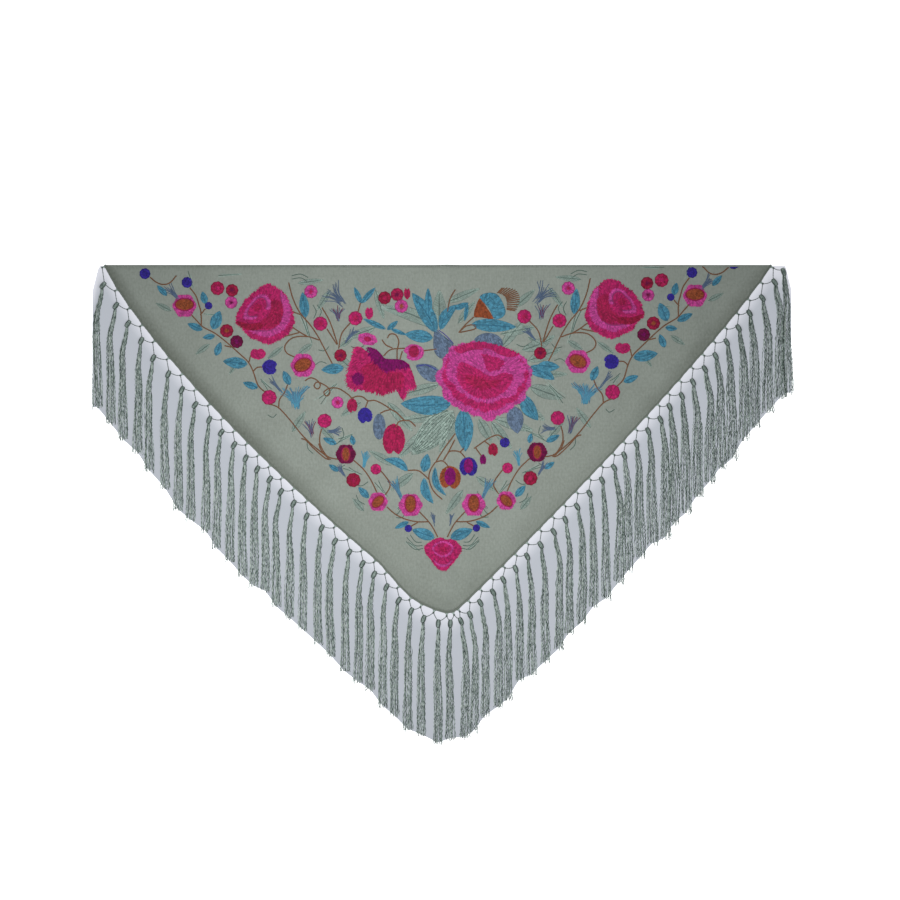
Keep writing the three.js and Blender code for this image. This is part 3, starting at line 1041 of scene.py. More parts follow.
def stem(bag, points, colour="brown", rows=2, layer=0.1, step=5.0):
    """Stem stitch: short slanting stitches that overlap along a curve."""
    curve = curve_through(points, 10)
    curve[:, 1] = np.maximum(curve[:, 1], TOP_EDGE_KEEP)
    run = np.concatenate([[0], np.cumsum(np.hypot(*np.diff(curve, axis=0).T))])
    at = np.linspace(0, run[-1], max(2, int(run[-1] / step) + 1))
    spine = np.stack([np.interp(at, run, curve[:, axis]) for axis in (0, 1)], axis=1)
    side = sideways(np.gradient(spine, axis=0))
    lap = STEM_OVERLAP * np.diff(spine, axis=0)
    for row in range(rows):
        shift = (row - (rows - 1) / 2) * THREAD * STEM_ROW_STEP
        start = spine[:-1] + side[:-1] * (shift - STEM_SLANT) - lap
        end = spine[1:] + side[1:] * (shift + STEM_SLANT) + lap
        bag.add(start, end, colour, layer, width=STEM_THREAD)


def sage_leaf(bag, base, tip, width, bend=0.0):
    """A leaf in the cloth's own colour: slanting stitches in light rows and in dark rows of painted shadow,
    on both sides of a rib.
    """
    middle, outline = leaf_outline(base, tip, width, bend)
    bag.add_pad(outline, "sage", SAGE_LAYER)
    length = np.hypot(*(middle[-1] - middle[0]))
    share = np.linspace(0.02, 0.97, max(4, int(length / SAGE_STEP)))
    stations = np.linspace(0, 1, len(middle))
    rib = np.stack([np.interp(share, stations, middle[:, k]) for k in (0, 1)], axis=1)
    further = np.minimum(share + 0.1, 1)
    ahead = np.stack([np.interp(further, stations, middle[:, k]) for k in (0, 1)], axis=1)
    along = (middle[-1] - middle[0]) / length
    side = np.array([-along[1], along[0]])
    half = width / 2 * leaf_form(np.minimum(share + 0.05, 1))
    next_row = along * 1.3
    for sign in (-1, 1):
        tips = ahead + sign * half[:, None] * side
        bag.add(rib, tips, "sage", SAGE_LAYER, lift=0.3)
        shadow_tips = tips[::2] + next_row
        bag.add(rib[::2] + next_row, shadow_tips, "sage_painted_shadow", SAGE_LAYER, width=1.0, lift=0.25)
    stem(bag, middle[:-1], "sage_painted_shadow", rows=1, layer=SAGE_LAYER - 0.05)


def broad_sage_leaf(bag, base, tip, width):
    """A broad leaf in the cloth's own colour, with dark lines of painted shadow that run along it."""
    middle, outline = leaf_outline(base, tip, width)
    fill(bag, outline, 2 * middle[0] - middle[-1], "sage", SAGE_LAYER)
    half = outline[: len(middle)] - middle
    for lane in np.linspace(-0.84, 0.84, 9):
        stem(bag, (middle + lane * half)[1:-1], "sage_painted_shadow", rows=1, layer=SAGE_LAYER + 0.12)


def sprig(bag, base, tip, spread, count, colours, layer=0.0):
    """A feathery fan of fine single strokes."""
    base = np.array(base, float)
    axis = np.array(tip, float) - base
    side = np.array([-axis[1], axis[0]]) / np.hypot(*axis)
    for n in range(count):
        lane = (2 * (n + 0.5) / count - 1) * spread / 2
        start = base + axis * rng.uniform(0, 0.35) + side * lane * 0.25
        end = base + axis * rng.uniform(0.7, 1.0) + side * lane
        middle = (start + end) / 2 - side * lane * 0.25
        stem(bag, [start, middle, end], colours[n % len(colours)], rows=1, layer=layer)


# Embroidery, in two mirrored side sprays and a middle spray

# The right-hand spray sits this much higher at its far end, so that the hem cuts its last bud
RIGHT_SIDE_LIFT = 24
SPRAY_REACH = 610
MIRROR_AT_TOP = 3
MIRROR_LEAN = 0.012


def mirrored(point):
    """The place in the right-hand spray that answers to one in the left-hand spray."""
    x, depth = point
    axis = MIRROR_AT_TOP + MIRROR_LEAN * depth
    away = np.clip((axis - x) / SPRAY_REACH, 0, 1)
    return (2 * axis - x, depth - RIGHT_SIDE_LIFT * away**1.6)


def both(point):
    return (point, mirrored(point))


def on_both_sides(items):
    """Each row of a table with its base and tip in the left-hand spray, then in the right-hand one."""
    for item in items:
        for base, tip in zip(both(item["base"]), both(item["tip"])):
            yield item, base, tip


BERRIES = table("x depth radius colour heart", [
    (-529, 56, 16.5, "crimson", "pink"),
    (-494, 61, 15, "red", "burgundy"),
    (-496, 90, 15, "light_pink", "burgundy"),
    (-507, 158, 16, "red", "rust"),
    (-483, 184, 15.5, "burgundy", "purple"),
    (-305, 64, 16, "light_pink", "crimson"),
    (-282, 141, 17, "pink", "crimson"),
    (-198, 128, 17, "pink", "crimson"),
    (-234, 217, 15, "red", "burgundy"),
    (-272, 374, 17, "pink", "pink"),
    (-405, 318, 18, "pink", "pink"),
    (-203, 516, 17, "red", "crimson"),
    (-149, 490, 13, "pink", "pink"),
    (-703, 21, 13, "blue", "blue"),
    (-602, 42, 13, "blue", "blue"),
    (-550, 98, 9, "blue", "blue"),
    (-71, 632, 9, "blue", "blue"),
])

MIDDLE_BERRIES = table("x depth radius colour heart", [
    (-128, 79, 15.5, "red", "crimson"),
    (-98, 71, 15.5, "crimson", "burgundy"),
    (-88, 99, 16, "light_pink", "rust"),
    (-241, 330, 14.5, "light_pink", "crimson"),
    (160, 426, 12, "blue", "blue"),
])

OPEN_FLOWERS = table("x depth radius petal heart tilt lift", [
    (-608, 98, 28, "light_pink", (21, 13), 0, 3),
    (-324, 241, 29, "light_pink", (20, 14), -25, 1),
    (-144, 568, 23, "light_pink", (16, 10), -45, 0),
    (-66, 576, 28, "light_pink", (12, 19), 0, 3),
    (-221, 454, 24, "burgundy", (9, 16), 0, 0),
])

# Tulips and buds of the middle spray; notch is the way each one opens, in degrees
CUPS = table("x depth rx ry colour notch inner", [
    (-106, 420, 27, 39, "crimson", 90, None),
    (-206, 338, 13, 18, "crimson", 80, None),
    (-175, 362, 18, 20, "blue", 80, None),
    (29, 511, 26, 29, "rust", 95, "magenta"),
    (73, 485, 22, 24, "blue", 95, "magenta"),
    (108, 468, 8, 13, "purple", 90, None),
    (132, 444, 12, 16, "red", 100, None),
    (-74, 68, 8, 14, "crimson", -90, None),
    (-165, 115, 10, 15, "pink", -90, None),
    (-58, 210, 25, 20, "light_pink", 160, "crimson"),
])

# Leaves of the side sprays
SIDE_LEAVES = table("base tip width", [
    ((-540, 155), (-523, 110), 27),
    ((-535, 170), (-564, 175), 14),
    ((-564, 156), (-601, 141), 17),
    ((-533, 218), (-521, 185), 17),
    ((-457, 238), (-516, 231), 27),
    ((-432, 295), (-468, 282), 17),
    ((-355, 288), (-371, 254), 19),
    ((-317, 127), (-325, 65), 23),
    ((-226, 247), (-280, 252), 25),
    ((-557, 94), (-565, 64), 17),
    ((-650, 74), (-674, 49), 14),
    ((-166, 559), (-191, 533), 17),
    ((-8, 655), (-62, 635), 27),
    ((-70, 616), (-104, 632), 13),
    ((-202, 432), (-208, 408), 13),
    ((-243, 430), (-276, 415), 15),
    ((-238, 495), (-262, 479), 13),
])

MIDDLE_LEAVES = table("base tip width bend", [
    ((-184, 92), (-201, 53), 13),
    ((-184, 92), (-150, 54), 14),
    ((-125, 154), (-180, 129), 13),
    ((-122, 156), (-96, 134), 13),
    ((-113, 154), (-75, 168), 10),
    ((-12, 175), (-80, 166), 30),
    ((-3, 163), (-62, 67), 36, 0.03),
    ((-22, 124), (-24, 55), 18),
    ((5, 156), (46, 95), 26, -0.1),
    ((39, 106), (74, 91), 14),
    ((71, 93), (64, 136), 10),
    ((80, 142), (188, 149), 31),
    ((214, 248), (280, 275), 30, -0.08),
    ((202, 312), (240, 373), 34, 0.05),
    ((34, 331), (-90, 333), 46, -0.04),
    ((60, 345), (66, 448), 44),
    ((-72, 494), (-128, 466), 21, 0.12),
    ((-34, 497), (-25, 453), 24),
    ((-34, 511), (-11, 573), 22, 0.12),
    ((-7, 485), (20, 554), 16, 0.16),
])

SLATE_LEAVES = table("base tip width", [
    ((10, 275), (-54, 240), 38),
    ((180, 338), (191, 405), 40),
])

# Dark lines along one side of the slate leaves
SLATE_EDGES = [
    [(2, 157), (18, 169), (37, 189)],
    [(-50, 243), (-28, 240), (-5, 251)],
]

# Stems of the side sprays, each a curve through listed points
SIDE_STEMS = [
    [(-593, 118), (-579, 133), (-563, 149), (-535, 164), (-509, 184), (-475, 214), (-456, 232),
     (-444, 254), (-432, 288), (-416, 304)],
    [(-403, 334), (-382, 343), (-355, 372), (-324, 410), (-293, 439), (-262, 461), (-240, 466)],
    [(-361, 288), (-368, 306), (-380, 323), (-382, 343)],
    [(-202, 469), (-179, 490), (-161, 516), (-147, 545)],
    [(-137, 494), (-119, 517), (-115, 532), (-126, 551)],
    [(-122, 581), (-102, 598), (-77, 610), (-50, 616), (-24, 616)],
    [(-44, 593), (-24, 614), (-12, 631), (-1, 652)],
    [(-49, 618), (-65, 627)],
    [(-358, 43), (-348, 80), (-331, 115), (-308, 142), (-290, 168), (-278, 190), (-262, 221),
     (-254, 236)],
    [(-286, 180), (-314, 172), (-348, 175), (-367, 194), (-363, 211), (-344, 221)],
    [(-350, 149), (-329, 163), (-314, 171)],
    [(-370, 172), (-334, 163)],
    [(-350, 112), (-331, 119)],
    [(-278, 103), (-259, 137), (-241, 190)],
    [(-266, 154), (-243, 190)],
    [(-210, 139), (-231, 165), (-238, 200)],
    [(-690, 30), (-675, 42), (-658, 47), (-642, 42), (-628, 26)],
    [(-595, 55), (-580, 75), (-573, 96), (-568, 114), (-567, 143)],
    [(-558, 106), (-569, 120)],
    [(-511, 194), (-497, 197)],
    [(-453, 232), (-450, 218)],
    [(-442, 254), (-434, 246), (-421, 245)],
    [(-279, 394), (-283, 409), (-283, 429), (-273, 450), (-261, 464)],
    [(-286, 429), (-279, 447), (-264, 463)],
    [(-327, 417), (-316, 421), (-297, 441), (-270, 464), (-258, 466)],
]

MIDDLE_STEMS = [
    [(-72, 493), (-49, 493), (-34, 503), (-22, 514)],
    [(-6, 473), (-17, 490), (-22, 509), (-17, 530), (-7, 547), (10, 562)],
    [(41, 405), (23, 429), (6, 454), (-5, 473)],
    [(40, 420), (26, 447), (14, 468)],
    [(-5, 473), (11, 470), (24, 482)],
    [(14, 467), (26, 449), (38, 446), (53, 449), (65, 462)],
    [(87, 440), (108, 425), (127, 413), (144, 408), (157, 417)],
    [(113, 424), (124, 432)],
    [(91, 440), (104, 458)],
    [(53, 449), (62, 440)],
    [(86, 125), (67, 142), (50, 162)],
    [(52, 160), (67, 147), (86, 144), (90, 153), (67, 159), (52, 162)],
    [(41, 60), (29, 82), (23, 112)],
    [(-130, 218), (-113, 203), (-80, 200)],
    [(-98, 226), (-98, 204), (-94, 185), (-101, 168), (-115, 166), (-121, 175)],
    [(-110, 199), (-125, 192), (-134, 180)],
    [(-91, 226), (-86, 208)],
    [(-36, 206), (-19, 204), (-3, 202)],
    [(-186, 92), (-192, 113)],
    [(-318, 278), (-306, 271), (-291, 276), (-282, 288), (-288, 298), (-297, 291), (-290, 281),
     (-276, 286), (-263, 295), (-259, 307), (-267, 315), (-274, 306), (-263, 297), (-249, 295),
     (-235, 298), (-214, 312), (-206, 322)],
    [(-208, 320), (-194, 315), (-180, 317), (-168, 326), (-152, 325), (-132, 334), (-112, 347),
     (-97, 356), (-80, 373), (-68, 374), (-54, 387)],
    [(-168, 326), (-174, 342)],
    [(-112, 347), (-126, 350), (-138, 356)],
    [(-80, 373), (-94, 376), (-100, 388)],
]

SPRIGS = table("base tip spread count colours", [
    ((-223, 98), (-262, 55), 62, 15, ["dusk"]),
    ((-238, 139), (-243, 96), 40, 10, ["dusk", "dusk", "burgundy"]),
    ((-340, 344), (-344, 292), 76, 34, ["teal", "teal", "dusk"]),
    ((-338, 346), (-342, 312), 44, 18, ["teal"]),
    ((-178, 487), (-172, 444), 24, 10, ["teal"]),
    ((-221, 511), (-242, 478), 18, 8, ["dusk"]),
    ((-86, 562), (-110, 512), 28, 14, ["dusk", "teal"]),
    ((-7, 626), (-14, 592), 12, 6, ["dusk"]),
    ((-617, 89), (-652, 48), 26, 10, ["dusk"]),
    ((-374, 307), (-405, 269), 16, 7, ["dusk"]),
    ((-224, 187), (-195, 152), 22, 8, ["dusk"]),
    ((-268, 400), (-229, 398), 26, 8, ["dusk"]),
    ((-300, 414), (-311, 371), 34, 12, ["dusk", "dusk", "burgundy"]),
])

# Tone on tone strokes beside the flowers and vines of the side sprays
SIDE_SAGE = table("base tip spread count", [
    ((-470, 22), (-540, 26), 10, 3),
    ((-560, 118), (-515, 122), 10, 3),
    ((-585, 60), (-600, 14), 12, 3),
    ((-430, 270), (-400, 300), 18, 4),
    ((-300, 200), (-330, 110), 22, 4),
    ((-240, 280), (-290, 335), 30, 5),
    ((-190, 400), (-255, 430), 24, 5),
    ((-180, 505), (-230, 485), 14, 4),
    ((-120, 560), (-150, 520), 20, 4),
    ((-100, 590), (-60, 540), 24, 4),
    ((-38, 690), (-84, 655), 14, 3),
])

# Fine curved dark lines of painted shadow beside the point flower, along the vines and above the side
# flowers
SAGE_LINES = [
    [(-36, 680), (-56, 682), (-76, 664)],
    [(-38, 673), (-56, 673), (-74, 654)],
    [(-40, 665), (-54, 664), (-66, 648)],
    [(-112, 592), (-98, 598), (-88, 584)],
    [(-100, 606), (-86, 606), (-78, 594)],
    [(-176, 574), (-190, 566), (-196, 552)],
    [(-168, 520), (-182, 530), (-196, 528)],
    [(-224, 480), (-240, 490), (-256, 484)],
    [(-238, 424), (-226, 410), (-230, 392)],
    [(-300, 452), (-312, 440), (-314, 420)],
    [(-408, 360), (-396, 366), (-388, 358)],
    [(-350, 26), (-330, 22), (-312, 30)],
    [(-350, 34), (-330, 31), (-316, 38)],
    [(-300, 96), (-292, 112), (-298, 128)],
    [(-290, 96), (-280, 110), (-284, 124)],
    [(-268, 236), (-282, 232), (-294, 240)],
    [(-208, 196), (-192, 200), (-178, 194)],
    [(-180, 232), (-192, 244), (-206, 246)],
    [(-262, 196), (-272, 206), (-286, 204)],
]

# Tone on tone leaves of the side sprays and round the middle flowers
SIDE_SAGE_LEAVES = table("base tip width", [
    ((-302, 190), (-336, 214), 16),
    ((-258, 60), (-290, 108), 16),
    ((-548, 190), (-580, 214), 14),
    ((-350, 400), (-318, 352), 18),
    ((-250, 420), (-286, 382), 18),
    ((-640, 110), (-676, 92), 14),
    ((-178, 590), (-204, 560), 16),
    ((-372, 196), (-410, 226), 14),
    ((-336, 44), (-276, 36), 14),
    ((-236, 196), (-206, 178), 13),
    ((-478, 226), (-500, 262), 13),
])

MIDDLE_SAGE_LEAVES = table("base tip width bend", [
    ((-150, 60), (-130, 128), 18),
    ((186, 100), (232, 60), 20),
    ((150, 166), (236, 148), 22),
    ((-206, 250), (-250, 212), 22),
    ((-186, 330), (-232, 362), 20),
    ((128, 376), (176, 440), 24),
    ((-30, 398), (-94, 462), 26),
    ((226, 262), (310, 262), 20),
    ((92, 508), (140, 542), 20),
    ((-106, 480), (-164, 446), 20),
    ((-3, 150), (-138, 101), 32, 0.06),
    ((3, 146), (3, 62), 34),
    ((22, 90), (99, 57), 20),
    ((48, 140), (88, 88), 18),
    ((202, 204), (280, 170), 27, 0.05),
    ((216, 230), (293, 203), 26),
    ((221, 292), (299, 320), 32),
    ((190, 332), (256, 372), 30),
    ((42, 372), (4, 448), 28),
    ((22, 350), (-90, 372), 26, -0.04),
    ((98, 370), (128, 424), 26),
    ((137, 370), (228, 397), 26),
    ((3, 287), (-88, 312), 24),
    ((-150, 150), (-226, 178), 20),
    ((-120, 330), (-62, 398), 24),
    ((-60, 500), (-112, 540), 22),
    ((150, 200), (208, 128), 24),
    ((60, 540), (20, 596), 20),
])

# Petals of the middle rose, bottom one first, measured from its centre
MIDDLE_ROSE = dict(x=110, depth=276, ruffle=7)
MIDDLE_ROSE_PETALS = table("colour layer focus ragged ruffles outline", [
    ("light_pink", 0.0, (0, 0), 3, 17, [
        (-12, -91), (31, -82), (82, -62), (106, -41), (115, -12), (106, 22), (89, 53), (55, 74),
        (17, 96), (-19, 86), (-48, 74), (-88, 50), (-98, 29), (-110, 5), (-113, -14), (-98, -41),
        (-89, -65), (-71, -82), (-42, -88)]),
    ("pink", 0.4, (0, 0), 3.5, 15, [
        (0, -80), (60, -62), (98, -36), (104, -6), (95, 24), (72, 50), (44, 62), (12, 76), (-20, 68),
        (-50, 54), (-76, 34), (-90, 8), (-99, -14), (-88, -42), (-60, -66)]),
    ("light_pink", 0.8, (8, -8), 3.5, 13, [
        (-70, -67), (-34, -79), (14, -77), (62, -62), (94, -43), (98, -14), (86, 18), (64, 38),
        (31, 50), (-7, 53), (-43, 38), (-67, 17), (-82, 0), (-88, -24), (-84, -50)]),
    ("pink", 1.2, (0, 30), 3.5, 0, [
        (-72, -76), (-43, -87), (-10, -91), (34, -83), (84, -63), (62, -54), (26, -65), (-14, -73),
        (-40, -69), (-58, -63)]),
    ("pink", 1.2, (-8, 4), 3.5, 0, [
        (-62, -34), (-50, -43), (-34, -36), (-10, -24), (7, -12), (26, -9), (48, -17), (70, -10),
        (65, 10), (46, 31), (22, 43), (-2, 46), (-29, 36), (-50, 19), (-65, -5)]),
    ("crimson", 1.5, (-10, 2), 9, 0, [
        (-46, -12), (-20, -10), (10, 0), (36, 0), (30, 14), (4, 22), (-24, 18), (-42, 4)]),
    ("pink", 1.5, (22, -36), 3.5, 0, [
        (-5, -62), (14, -59), (38, -50), (49, -41), (38, -26), (19, -21), (7, -26), (0, -46)]),
    ("light_pink", 1.6, (14, -90), 1, 0, [
        (-2, -76), (14, -74), (30, -66), (24, -60), (8, -64)]),
])

SIDE_ROSE = dict(x=-413, depth=118, ruffle=2.5)
SIDE_ROSE_PETALS = table("colour layer focus ragged ruffles outline", [
    ("pink", 0.0, (0, 0), 3, 11, [
        (14, -72), (41, -53), (58, -26), (69, 17), (55, 46), (26, 66), (10, 73), (-17, 65), (-43, 53),
        (-54, 37), (-71, 23), (-70, 5), (-61, -17), (-46, -38), (-19, -60), (0, -70)]),
    ("light_pink", 0.5, (0, 0), 3.5, 0, [
        (36, -55), (53, -34), (60, -5), (54, 24), (34, 43), (5, 55), (-22, 49), (-43, 38), (-19, 40),
        (10, 39), (31, 24), (41, 0), (38, -29)]),
    ("red", 0.6, (0, 10), 3, 0, [
        (-71, 17), (-38, 23), (-8, 20), (-8, 34), (-36, 40), (-57, 33)]),
    ("crimson", 0.7, (24, -4), 3, 0, [
        (10, -36), (38, -27), (41, 2), (29, 28), (0, 34), (-12, 19), (5, 5), (13, -14)]),
    ("light_pink", 0.9, (-19, -17), 3, 0, [
        (-52, 12), (-53, 0), (-47, -13), (-34, -32), (-20, -45), (-5, -48), (6, -42), (12, -29),
        (12, -16), (6, -10), (1, -12), (4, -21), (1, -34), (-7, -40), (-18, -39), (-29, -28),
        (-41, -13), (-45, 0), (-39, 6), (-21, 6), (-23, 11), (-37, 13)]),
    ("crimson", 0.9, (-20, -14), 3, 0, [
        (-30, -14), (-24, -22), (-14, -24), (-9, -18), (-14, -9), (-24, -7)]),
])

POINT_ROSE = dict(x=12, depth=694)
POINT_ROSE_PETALS = table("colour layer focus ragged ruffles outline", [
    ("pink", 0.0, (0, -6), 2, 0, [
        (-46, -17), (-31, -31), (-17, -38), (-2, -41), (7, -36), (14, -37), (29, -34), (43, -19),
        (46, -12), (41, 0), (30, 15), (18, 29), (10, 38), (0, 40), (-10, 37), (-19, 29), (-29, 15),
        (-41, 0)]),
    ("light_pink", 0.5, (0, -10), 1, 0, [
        (-24, 12), (-12, 21), (0, 24), (12, 21), (24, 12), (18, 22), (8, 29), (0, 31), (-9, 29),
        (-18, 22)]),
    ("light_pink", 0.5, (0, -14), 2, 0, [
        (-27, -14), (-17, -27), (0, -32), (17, -27), (27, -14), (17, 1), (0, 7), (-17, 1)]),
    ("pink", 0.9, (0, -14), 2, 0, [
        (-22, -14), (-13, -24), (0, -28), (14, -23), (22, -14), (13, -2), (-2, 3), (-15, -3)]),
    ("crimson", 1.2, (2, -12), 2, 0, [
        (-10, -12), (0, -20), (10, -12), (2, -4)]),
])

CARNATION_PETALS = table("colour layer focus ragged ruffles outline", [
    ("pink", 0.0, (-112, 188), 6, 0, [
        (-200, 197), (-182, 198), (-168, 209), (-150, 216), (-130, 224), (-98, 226), (-75, 234),
        (-68, 245), (-60, 262), (-53, 293), (-72, 304), (-83, 326), (-99, 301), (-118, 308),
        (-134, 314), (-149, 306), (-163, 305), (-182, 298), (-202, 301), (-217, 291), (-221, 272),
        (-215, 243), (-206, 214)]),
    ("crimson", 0.4, (-112, 188), 8, 0, [
        (-186, 252), (-166, 236), (-140, 240), (-105, 256), (-84, 260), (-86, 296), (-108, 301),
        (-135, 311), (-158, 302), (-178, 296), (-176, 270)]),
    ("purple", 0.8, (-112, 150), 7, 0, [
        (-170, 197), (-150, 201), (-137, 213), (-126, 224), (-92, 226), (-77, 233), (-67, 246),
        (-86, 250), (-108, 252), (-122, 258), (-139, 248), (-154, 233), (-164, 216)]),
    ("purple", 0.8, (-188, 268), 3, 0, [
        (-206, 270), (-198, 260), (-184, 262), (-178, 276), (-186, 288), (-200, 286)]),
])


def petals(bag, where, parts, turn=None):
    """A flower from its petals, placed at where; turn carries each point to its mirrored place."""
    for part in parts:
        points = [(where["x"] + u, where["depth"] + v) for u, v in part["outline"]]
        focus = (where["x"] + part["focus"][0], where["depth"] + part["focus"][1])
        if turn:
            points = [turn(p) for p in points]
            focus = turn(focus)
        outline = curve_through(points, 5, closed=True)
        if part["ruffles"]:
            spokes = outline - outline.mean(axis=0)
            angle = np.arctan2(spokes[:, 1], spokes[:, 0])
            wave = np.abs(np.sin(part["ruffles"] / 2 * angle + 0.9 * np.sin(3 * angle))) - 0.5
            out = spokes / np.hypot(*spokes.T)[:, None]
            outline = outline + out * (where["ruffle"] * wave)[:, None]
        fill(bag, outline, focus, part["colour"], part["layer"] + FLOWER_LIFT, ragged=part["ragged"])


def berry(bag, point, radius, colour, heart):
    """A round bud, with a small heart where its colour differs."""
    edge = round_outline(*point, radius, radius, ruffle=0.035, lobes=9)
    fill(bag, edge, point, colour, length=radius * 0.55)
    if heart != colour:
        small = radius * 0.34
        fill(bag, round_outline(*point, small, small), point, heart, 0.3, length=small, ragged=2)


def open_flower(bag, point, radius, petal, heart, tilt, lift):
    """A ruffled flower with a rust heart ringed in crimson."""
    ring = 2.5
    fill(bag, round_outline(*point, radius, radius, ruffle=0.05, lobes=6), point, petal, ragged=1.5)
    core = (point[0], point[1] - lift)
    fill(bag, round_outline(*core, heart[0] + ring, heart[1] + ring, tilt), core, "crimson", 0.5, length=6)
    fill(bag, round_outline(*core, *heart, tilt), core, "rust", 0.8, length=6)


def cup(bag, point, rx, ry, colour, notch, inner=None):
    """A tulip or bud: an oval with a notch cut into its open end; notch is that end's direction."""
    outline = round_outline(*point, rx, ry)
    open_way = math.radians(notch)
    turn = turned_from((outline - point) / (rx, ry), open_way)
    pinch = 1 - NOTCH_DEPTH * np.exp(-((turn / NOTCH_WIDTH) ** 2))
    outline = point + (outline - point) * pinch[:, None]
    foot = np.array(point) - 0.9 * np.array([rx * math.cos(open_way), ry * math.sin(open_way)])
    fill(bag, outline, foot, colour, ragged=1.5)
    if inner:
        core = round_outline(point[0], point[1] - ry * 0.12, rx * 0.52, ry * 0.74)
        fill(bag, core, foot, inner, 0.5, ragged=1)


def make_roses():
    bag = Stitches()
    petals(bag, MIDDLE_ROSE, MIDDLE_ROSE_PETALS)
    petals(bag, SIDE_ROSE, SIDE_ROSE_PETALS)
    petals(bag, SIDE_ROSE, SIDE_ROSE_PETALS, turn=mirrored)
    petals(bag, POINT_ROSE, POINT_ROSE_PETALS)
    petals(bag, dict(x=0, depth=0), CARNATION_PETALS)
    return bag.build("embroidery_roses")


def closed(points):
    """The outline through given points."""
    return curve_through(points, 5, closed=True)


def fan_bud(bag):
    """A bud seen from the side: rust under a teal cap, with brown rays along its far edge."""
    side = [(100, 80), (86, 122), (104, 126), (132, 129), (118, 104)]
    fill(bag, closed(side), (100, 60), "rust")
    cap = [(100, 78), (118, 67), (142, 71), (157, 94), (162, 115), (151, 128), (134, 128), (122, 104)]
    fill(bag, closed(cap), (96, 118), "teal", 0.3)
    foot = curve_through([(144, 66), (160, 74), (166, 88), (166, 107)], 5)
    for share, start in zip(np.linspace(0, 1, len(foot)), foot):
        angle = math.radians(-48 + 56 * share)
        ray = np.array([math.cos(angle), math.sin(angle)])
        reach = 13 + 15 * math.sin(math.pi * share) + 5 * share
        stem(bag, [start, start + ray * reach], "brown", step=7)


def make_blossoms():
    bag = Stitches(OVER_SAGE)
    for b in BERRIES:
        for point in both((b["x"], b["depth"])):
            berry(bag, point, b["radius"], b["colour"], b["heart"])
    for b in MIDDLE_BERRIES:
        berry(bag, (b["x"], b["depth"]), b["radius"], b["colour"], b["heart"])
    for f in OPEN_FLOWERS:
        for side, point in enumerate(both((f["x"], f["depth"]))):
            tilt = -f["tilt"] if side else f["tilt"]
            open_flower(bag, point, f["radius"], f["petal"], f["heart"], tilt, f["lift"])
    for point, notch in zip(both((-403, 245)), (5, 175)):
        cup(bag, point, 19, 18, "blue", notch)
    for point in both((-432, 213)):
        cup(bag, point, 19, 14, "pink", -90)
    for c in CUPS:
        cup(bag, (c["x"], c["depth"]), c["rx"], c["ry"], c["colour"], c["notch"], c["inner"])
    side_bud = (-169, 178)
    fill(bag, round_outline(*side_bud, 24, 15, 12, 0.04), side_bud, "light_pink", ragged=1.5)
    fill(bag, round_outline(*side_bud, 9, 6, 12), side_bud, "crimson", 0.5, length=5)
    fan_bud(bag)
    return bag.build("embroidery_blossoms")


def make_leaves():
    bag = Stitches(OVER_SAGE)
    for item, base, tip in on_both_sides(SIDE_LEAVES):
        leaf(bag, base, tip, item["width"])
    for item in MIDDLE_LEAVES:
        leaf(bag, item["base"], item["tip"], item["width"], bend=item.get("bend", 0))
    for item in SLATE_LEAVES:
        leaf(bag, item["base"], item["tip"], item["width"], "slate", rib=None)
    petal = [(-8, 156), (8, 166), (37, 192), (24, 210), (8, 225), (-10, 204)]
    fill(bag, closed(petal), (-20, 140), "slate")
    fill(bag, round_outline(120, 190, 36, 27), (120, 150), "slate")
    fill(bag, round_outline(-141, 388, 15, 31), (-141, 300), "slate")
    for line in SLATE_EDGES:
        stem(bag, line, "blue", rows=1, layer=0.3)
    for item, base, tip in on_both_sides(SPRIGS):
        sprig(bag, base, tip, item["spread"], item["count"], item["colours"])
    return bag.build("embroidery_leaves")


def make_stems():
    bag = Stitches(OVER_SAGE)
    for points in SIDE_STEMS:
        stem(bag, points)
        stem(bag, [mirrored(p) for p in points])
    for points in MIDDLE_STEMS:
        stem(bag, points)
    return bag.build("embroidery_stems")


def make_sage():
    """Leaves and strokes in the cloth's own colour between the flowers, with darker thread as their painted
    shadow.
    """
    bag = Stitches()
    for item, base, tip in on_both_sides(SIDE_SAGE):
        sprig(bag, base, tip, item["spread"], item["count"], ["sage", "sage_painted_shadow"], SAGE_LAYER)
    for line in SAGE_LINES:
        stem(bag, line, "sage_painted_shadow", rows=1, layer=-0.1)
        stem(bag, [mirrored(p) for p in line], "sage_painted_shadow", rows=1, layer=-0.1)
    for item, base, tip in on_both_sides(SIDE_SAGE_LEAVES):
        sage_leaf(bag, base, tip, item["width"])
    for item in MIDDLE_SAGE_LEAVES:
        sage_leaf(bag, item["base"], item["tip"], item["width"], item.get("bend", 0))
    broad_sage_leaf(bag, (38, 349), (-64, 456), 66)
    return bag.build("embroidery_sage")


# Surface, light and camera

# Millimetres of the surface across the picture
PHOTO_WIDTH = 2160
VIEW_CENTRE = (28.8, 444)
CAMERA_HEIGHT = 4000
SENSOR = 36
FLOOR_HALF = 25
FLOOR_GAP = 0.0004
GROUND_GAP = 0.1
GROUND_FADE = 70


def make_floor():
    """A white surface for the shawl to lie on."""
    white, _, principled = shader("white_surface", 0.9, 0.1, 0.0)
    glow = {"Emission Color": (1, 1, 1, 1), "Emission Strength": 0.9}
    set_inputs(principled, {"Base Color": linear(FLOOR_WHITE), **glow})
    half = FLOOR_HALF
    corners = [(-half, -half), (half, -half), (half, half), (-half, half)]
    mesh = bpy.data.meshes.new("floor")
    mesh.from_pydata([(x, y, -FLOOR_GAP) for x, y in corners], [], [(0, 1, 2, 3)])
    mesh.materials.append(white)
    add_object("floor", mesh)


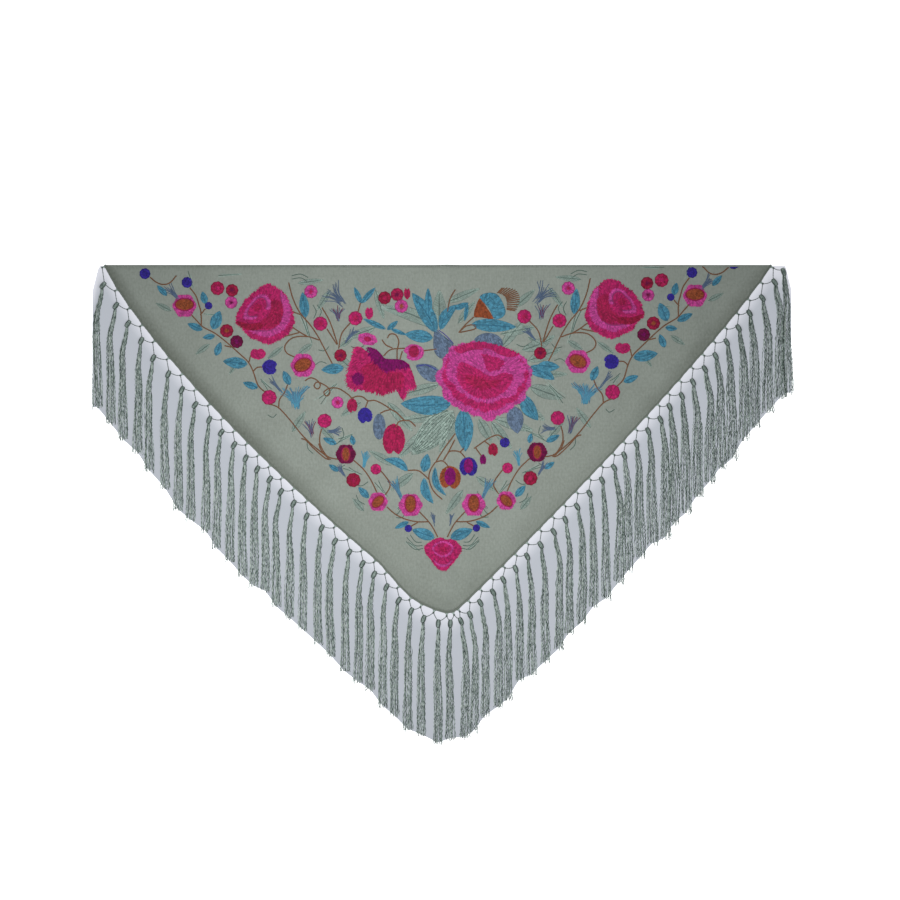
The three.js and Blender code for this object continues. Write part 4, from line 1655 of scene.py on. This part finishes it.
def make_ground():
    """The pale lilac ground that shows between the tassels, lighter along the hem. Its darker tone away
    from the hem is partly painted shadow, and it glows to hold that painted tone.
    """
    rows = 15
    half_tassel = 12
    ends = []
    for index in range(LAST_ROOT + 1):
        knot = knot_after(index)
        x, depth = tassel_start(knot)
        ends.append((x + TASSEL_SWING * knot["direction"][0], depth + tassel_length(knot) - 3))
    ends = np.array(ends)
    columns = np.concatenate([[ends[0, 0] - half_tassel], ends[:, 0], [ends[-1, 0] + half_tassel]])
    columns = np.interp(np.linspace(0, len(columns) - 1, 340), np.arange(len(columns)), columns)
    low = np.interp(columns, ends[:, 0], ends[:, 1])
    # Off the corners the ground starts level with the long edge and then slopes away
    past_corner = np.abs(columns) - HALF_WIDTH
    level_as_far_as = np.where(columns > 0, 34, 14)
    beside = 2 + 4 * np.maximum(past_corner - level_as_far_as, 0)
    under_hem = np.maximum(edge_depth(columns) - 8, 2)
    high = np.where(past_corner > 0, beside, under_hem)
    x, share = np.meshgrid(columns, np.linspace(0, 1, rows + 1) ** 1.6, indexing="ij")
    depth = high[:, None] + (low - high)[:, None] * share
    # Light along the hem, darker away from it: partly painted shadow
    fade = 1 - smooth_step((depth - high[:, None]) / GROUND_FADE)
    points = np.stack([x, depth, np.full(x.shape, -GROUND_GAP)], axis=-1)
    piece = Piece()
    piece.add(points, [grid_faces(len(columns) - 1, rows)], shade=fade.ravel())
    lilac, tree, principled = shader("lilac_ground", 0.9, 0.1, 0.0)
    # The ground glows with its own tone, painted light that no lamp gives
    glow = tint(tree, principled, shade_attribute(tree), DARK_GROUND, LIGHT_GROUND, 0, 1)
    tree.links.new(glow, principled.inputs["Emission Color"])
    principled.inputs["Emission Strength"].default_value = 2.0
    piece.build("ground", [lilac])


def area_light(name, location, target, size, power):
    data = bpy.data.lights.new(name, "AREA")
    data.shape = "SQUARE"
    data.size = size
    data.energy = power
    light = add_object(name, data)
    light.location = location
    light.rotation_euler = (Vector(target) - Vector(location)).to_track_quat("-Z", "Y").to_euler()


def make_lights():
    area_light("key", location=(-0.1, 0.15, 1.2), target=(-0.05, 0.05, 0), size=0.8, power=14.5)
    world = bpy.data.worlds.new("studio")
    world.use_nodes = True
    set_inputs(world.node_tree.nodes["Background"], {"Color": SKY, "Strength": 0.35})
    bpy.context.scene.world = world
    bpy.context.scene.view_settings.view_transform = "Standard"


def make_camera():
    data = bpy.data.cameras.new("camera")
    data.sensor_width = SENSOR
    data.lens = SENSOR * CAMERA_HEIGHT / PHOTO_WIDTH
    camera = add_object("camera", data)
    camera.location = place((*VIEW_CENTRE, CAMERA_HEIGHT))
    bpy.context.scene.camera = camera


make_camera()
make_lights()
make_floor()
make_ground()

thread_materials = {name: thread_material(f"thread_{name}", rgb) for name, rgb in THREADS.items()}
yarns = [
    yarn_material("fringe_yarn_light", (108, 126, 118), (206, 217, 209)),
    yarn_material("fringe_yarn", (84, 102, 95), (178, 194, 186)),
    yarn_material("fringe_yarn_dark", (50, 63, 56), (96, 110, 102)),
]
hem_material = thread_material("hem_cloth", (106, 114, 104), spread=0.1)

cloth = make_cloth()
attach(cloth, "root")
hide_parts("cloth_panel")

for side, node in ((-1, "fringe_left"), (1, "fringe_right")):
    hem = make_hem(side, hem_material)
    parts = make_fringe(side, yarns)
    for part in [hem, *parts]:
        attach(part, "root")
        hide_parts(node)

embroidery = [make_roses(), make_blossoms(), make_leaves(), make_stems(), make_sage()]
for part in embroidery:
    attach(part, "root")
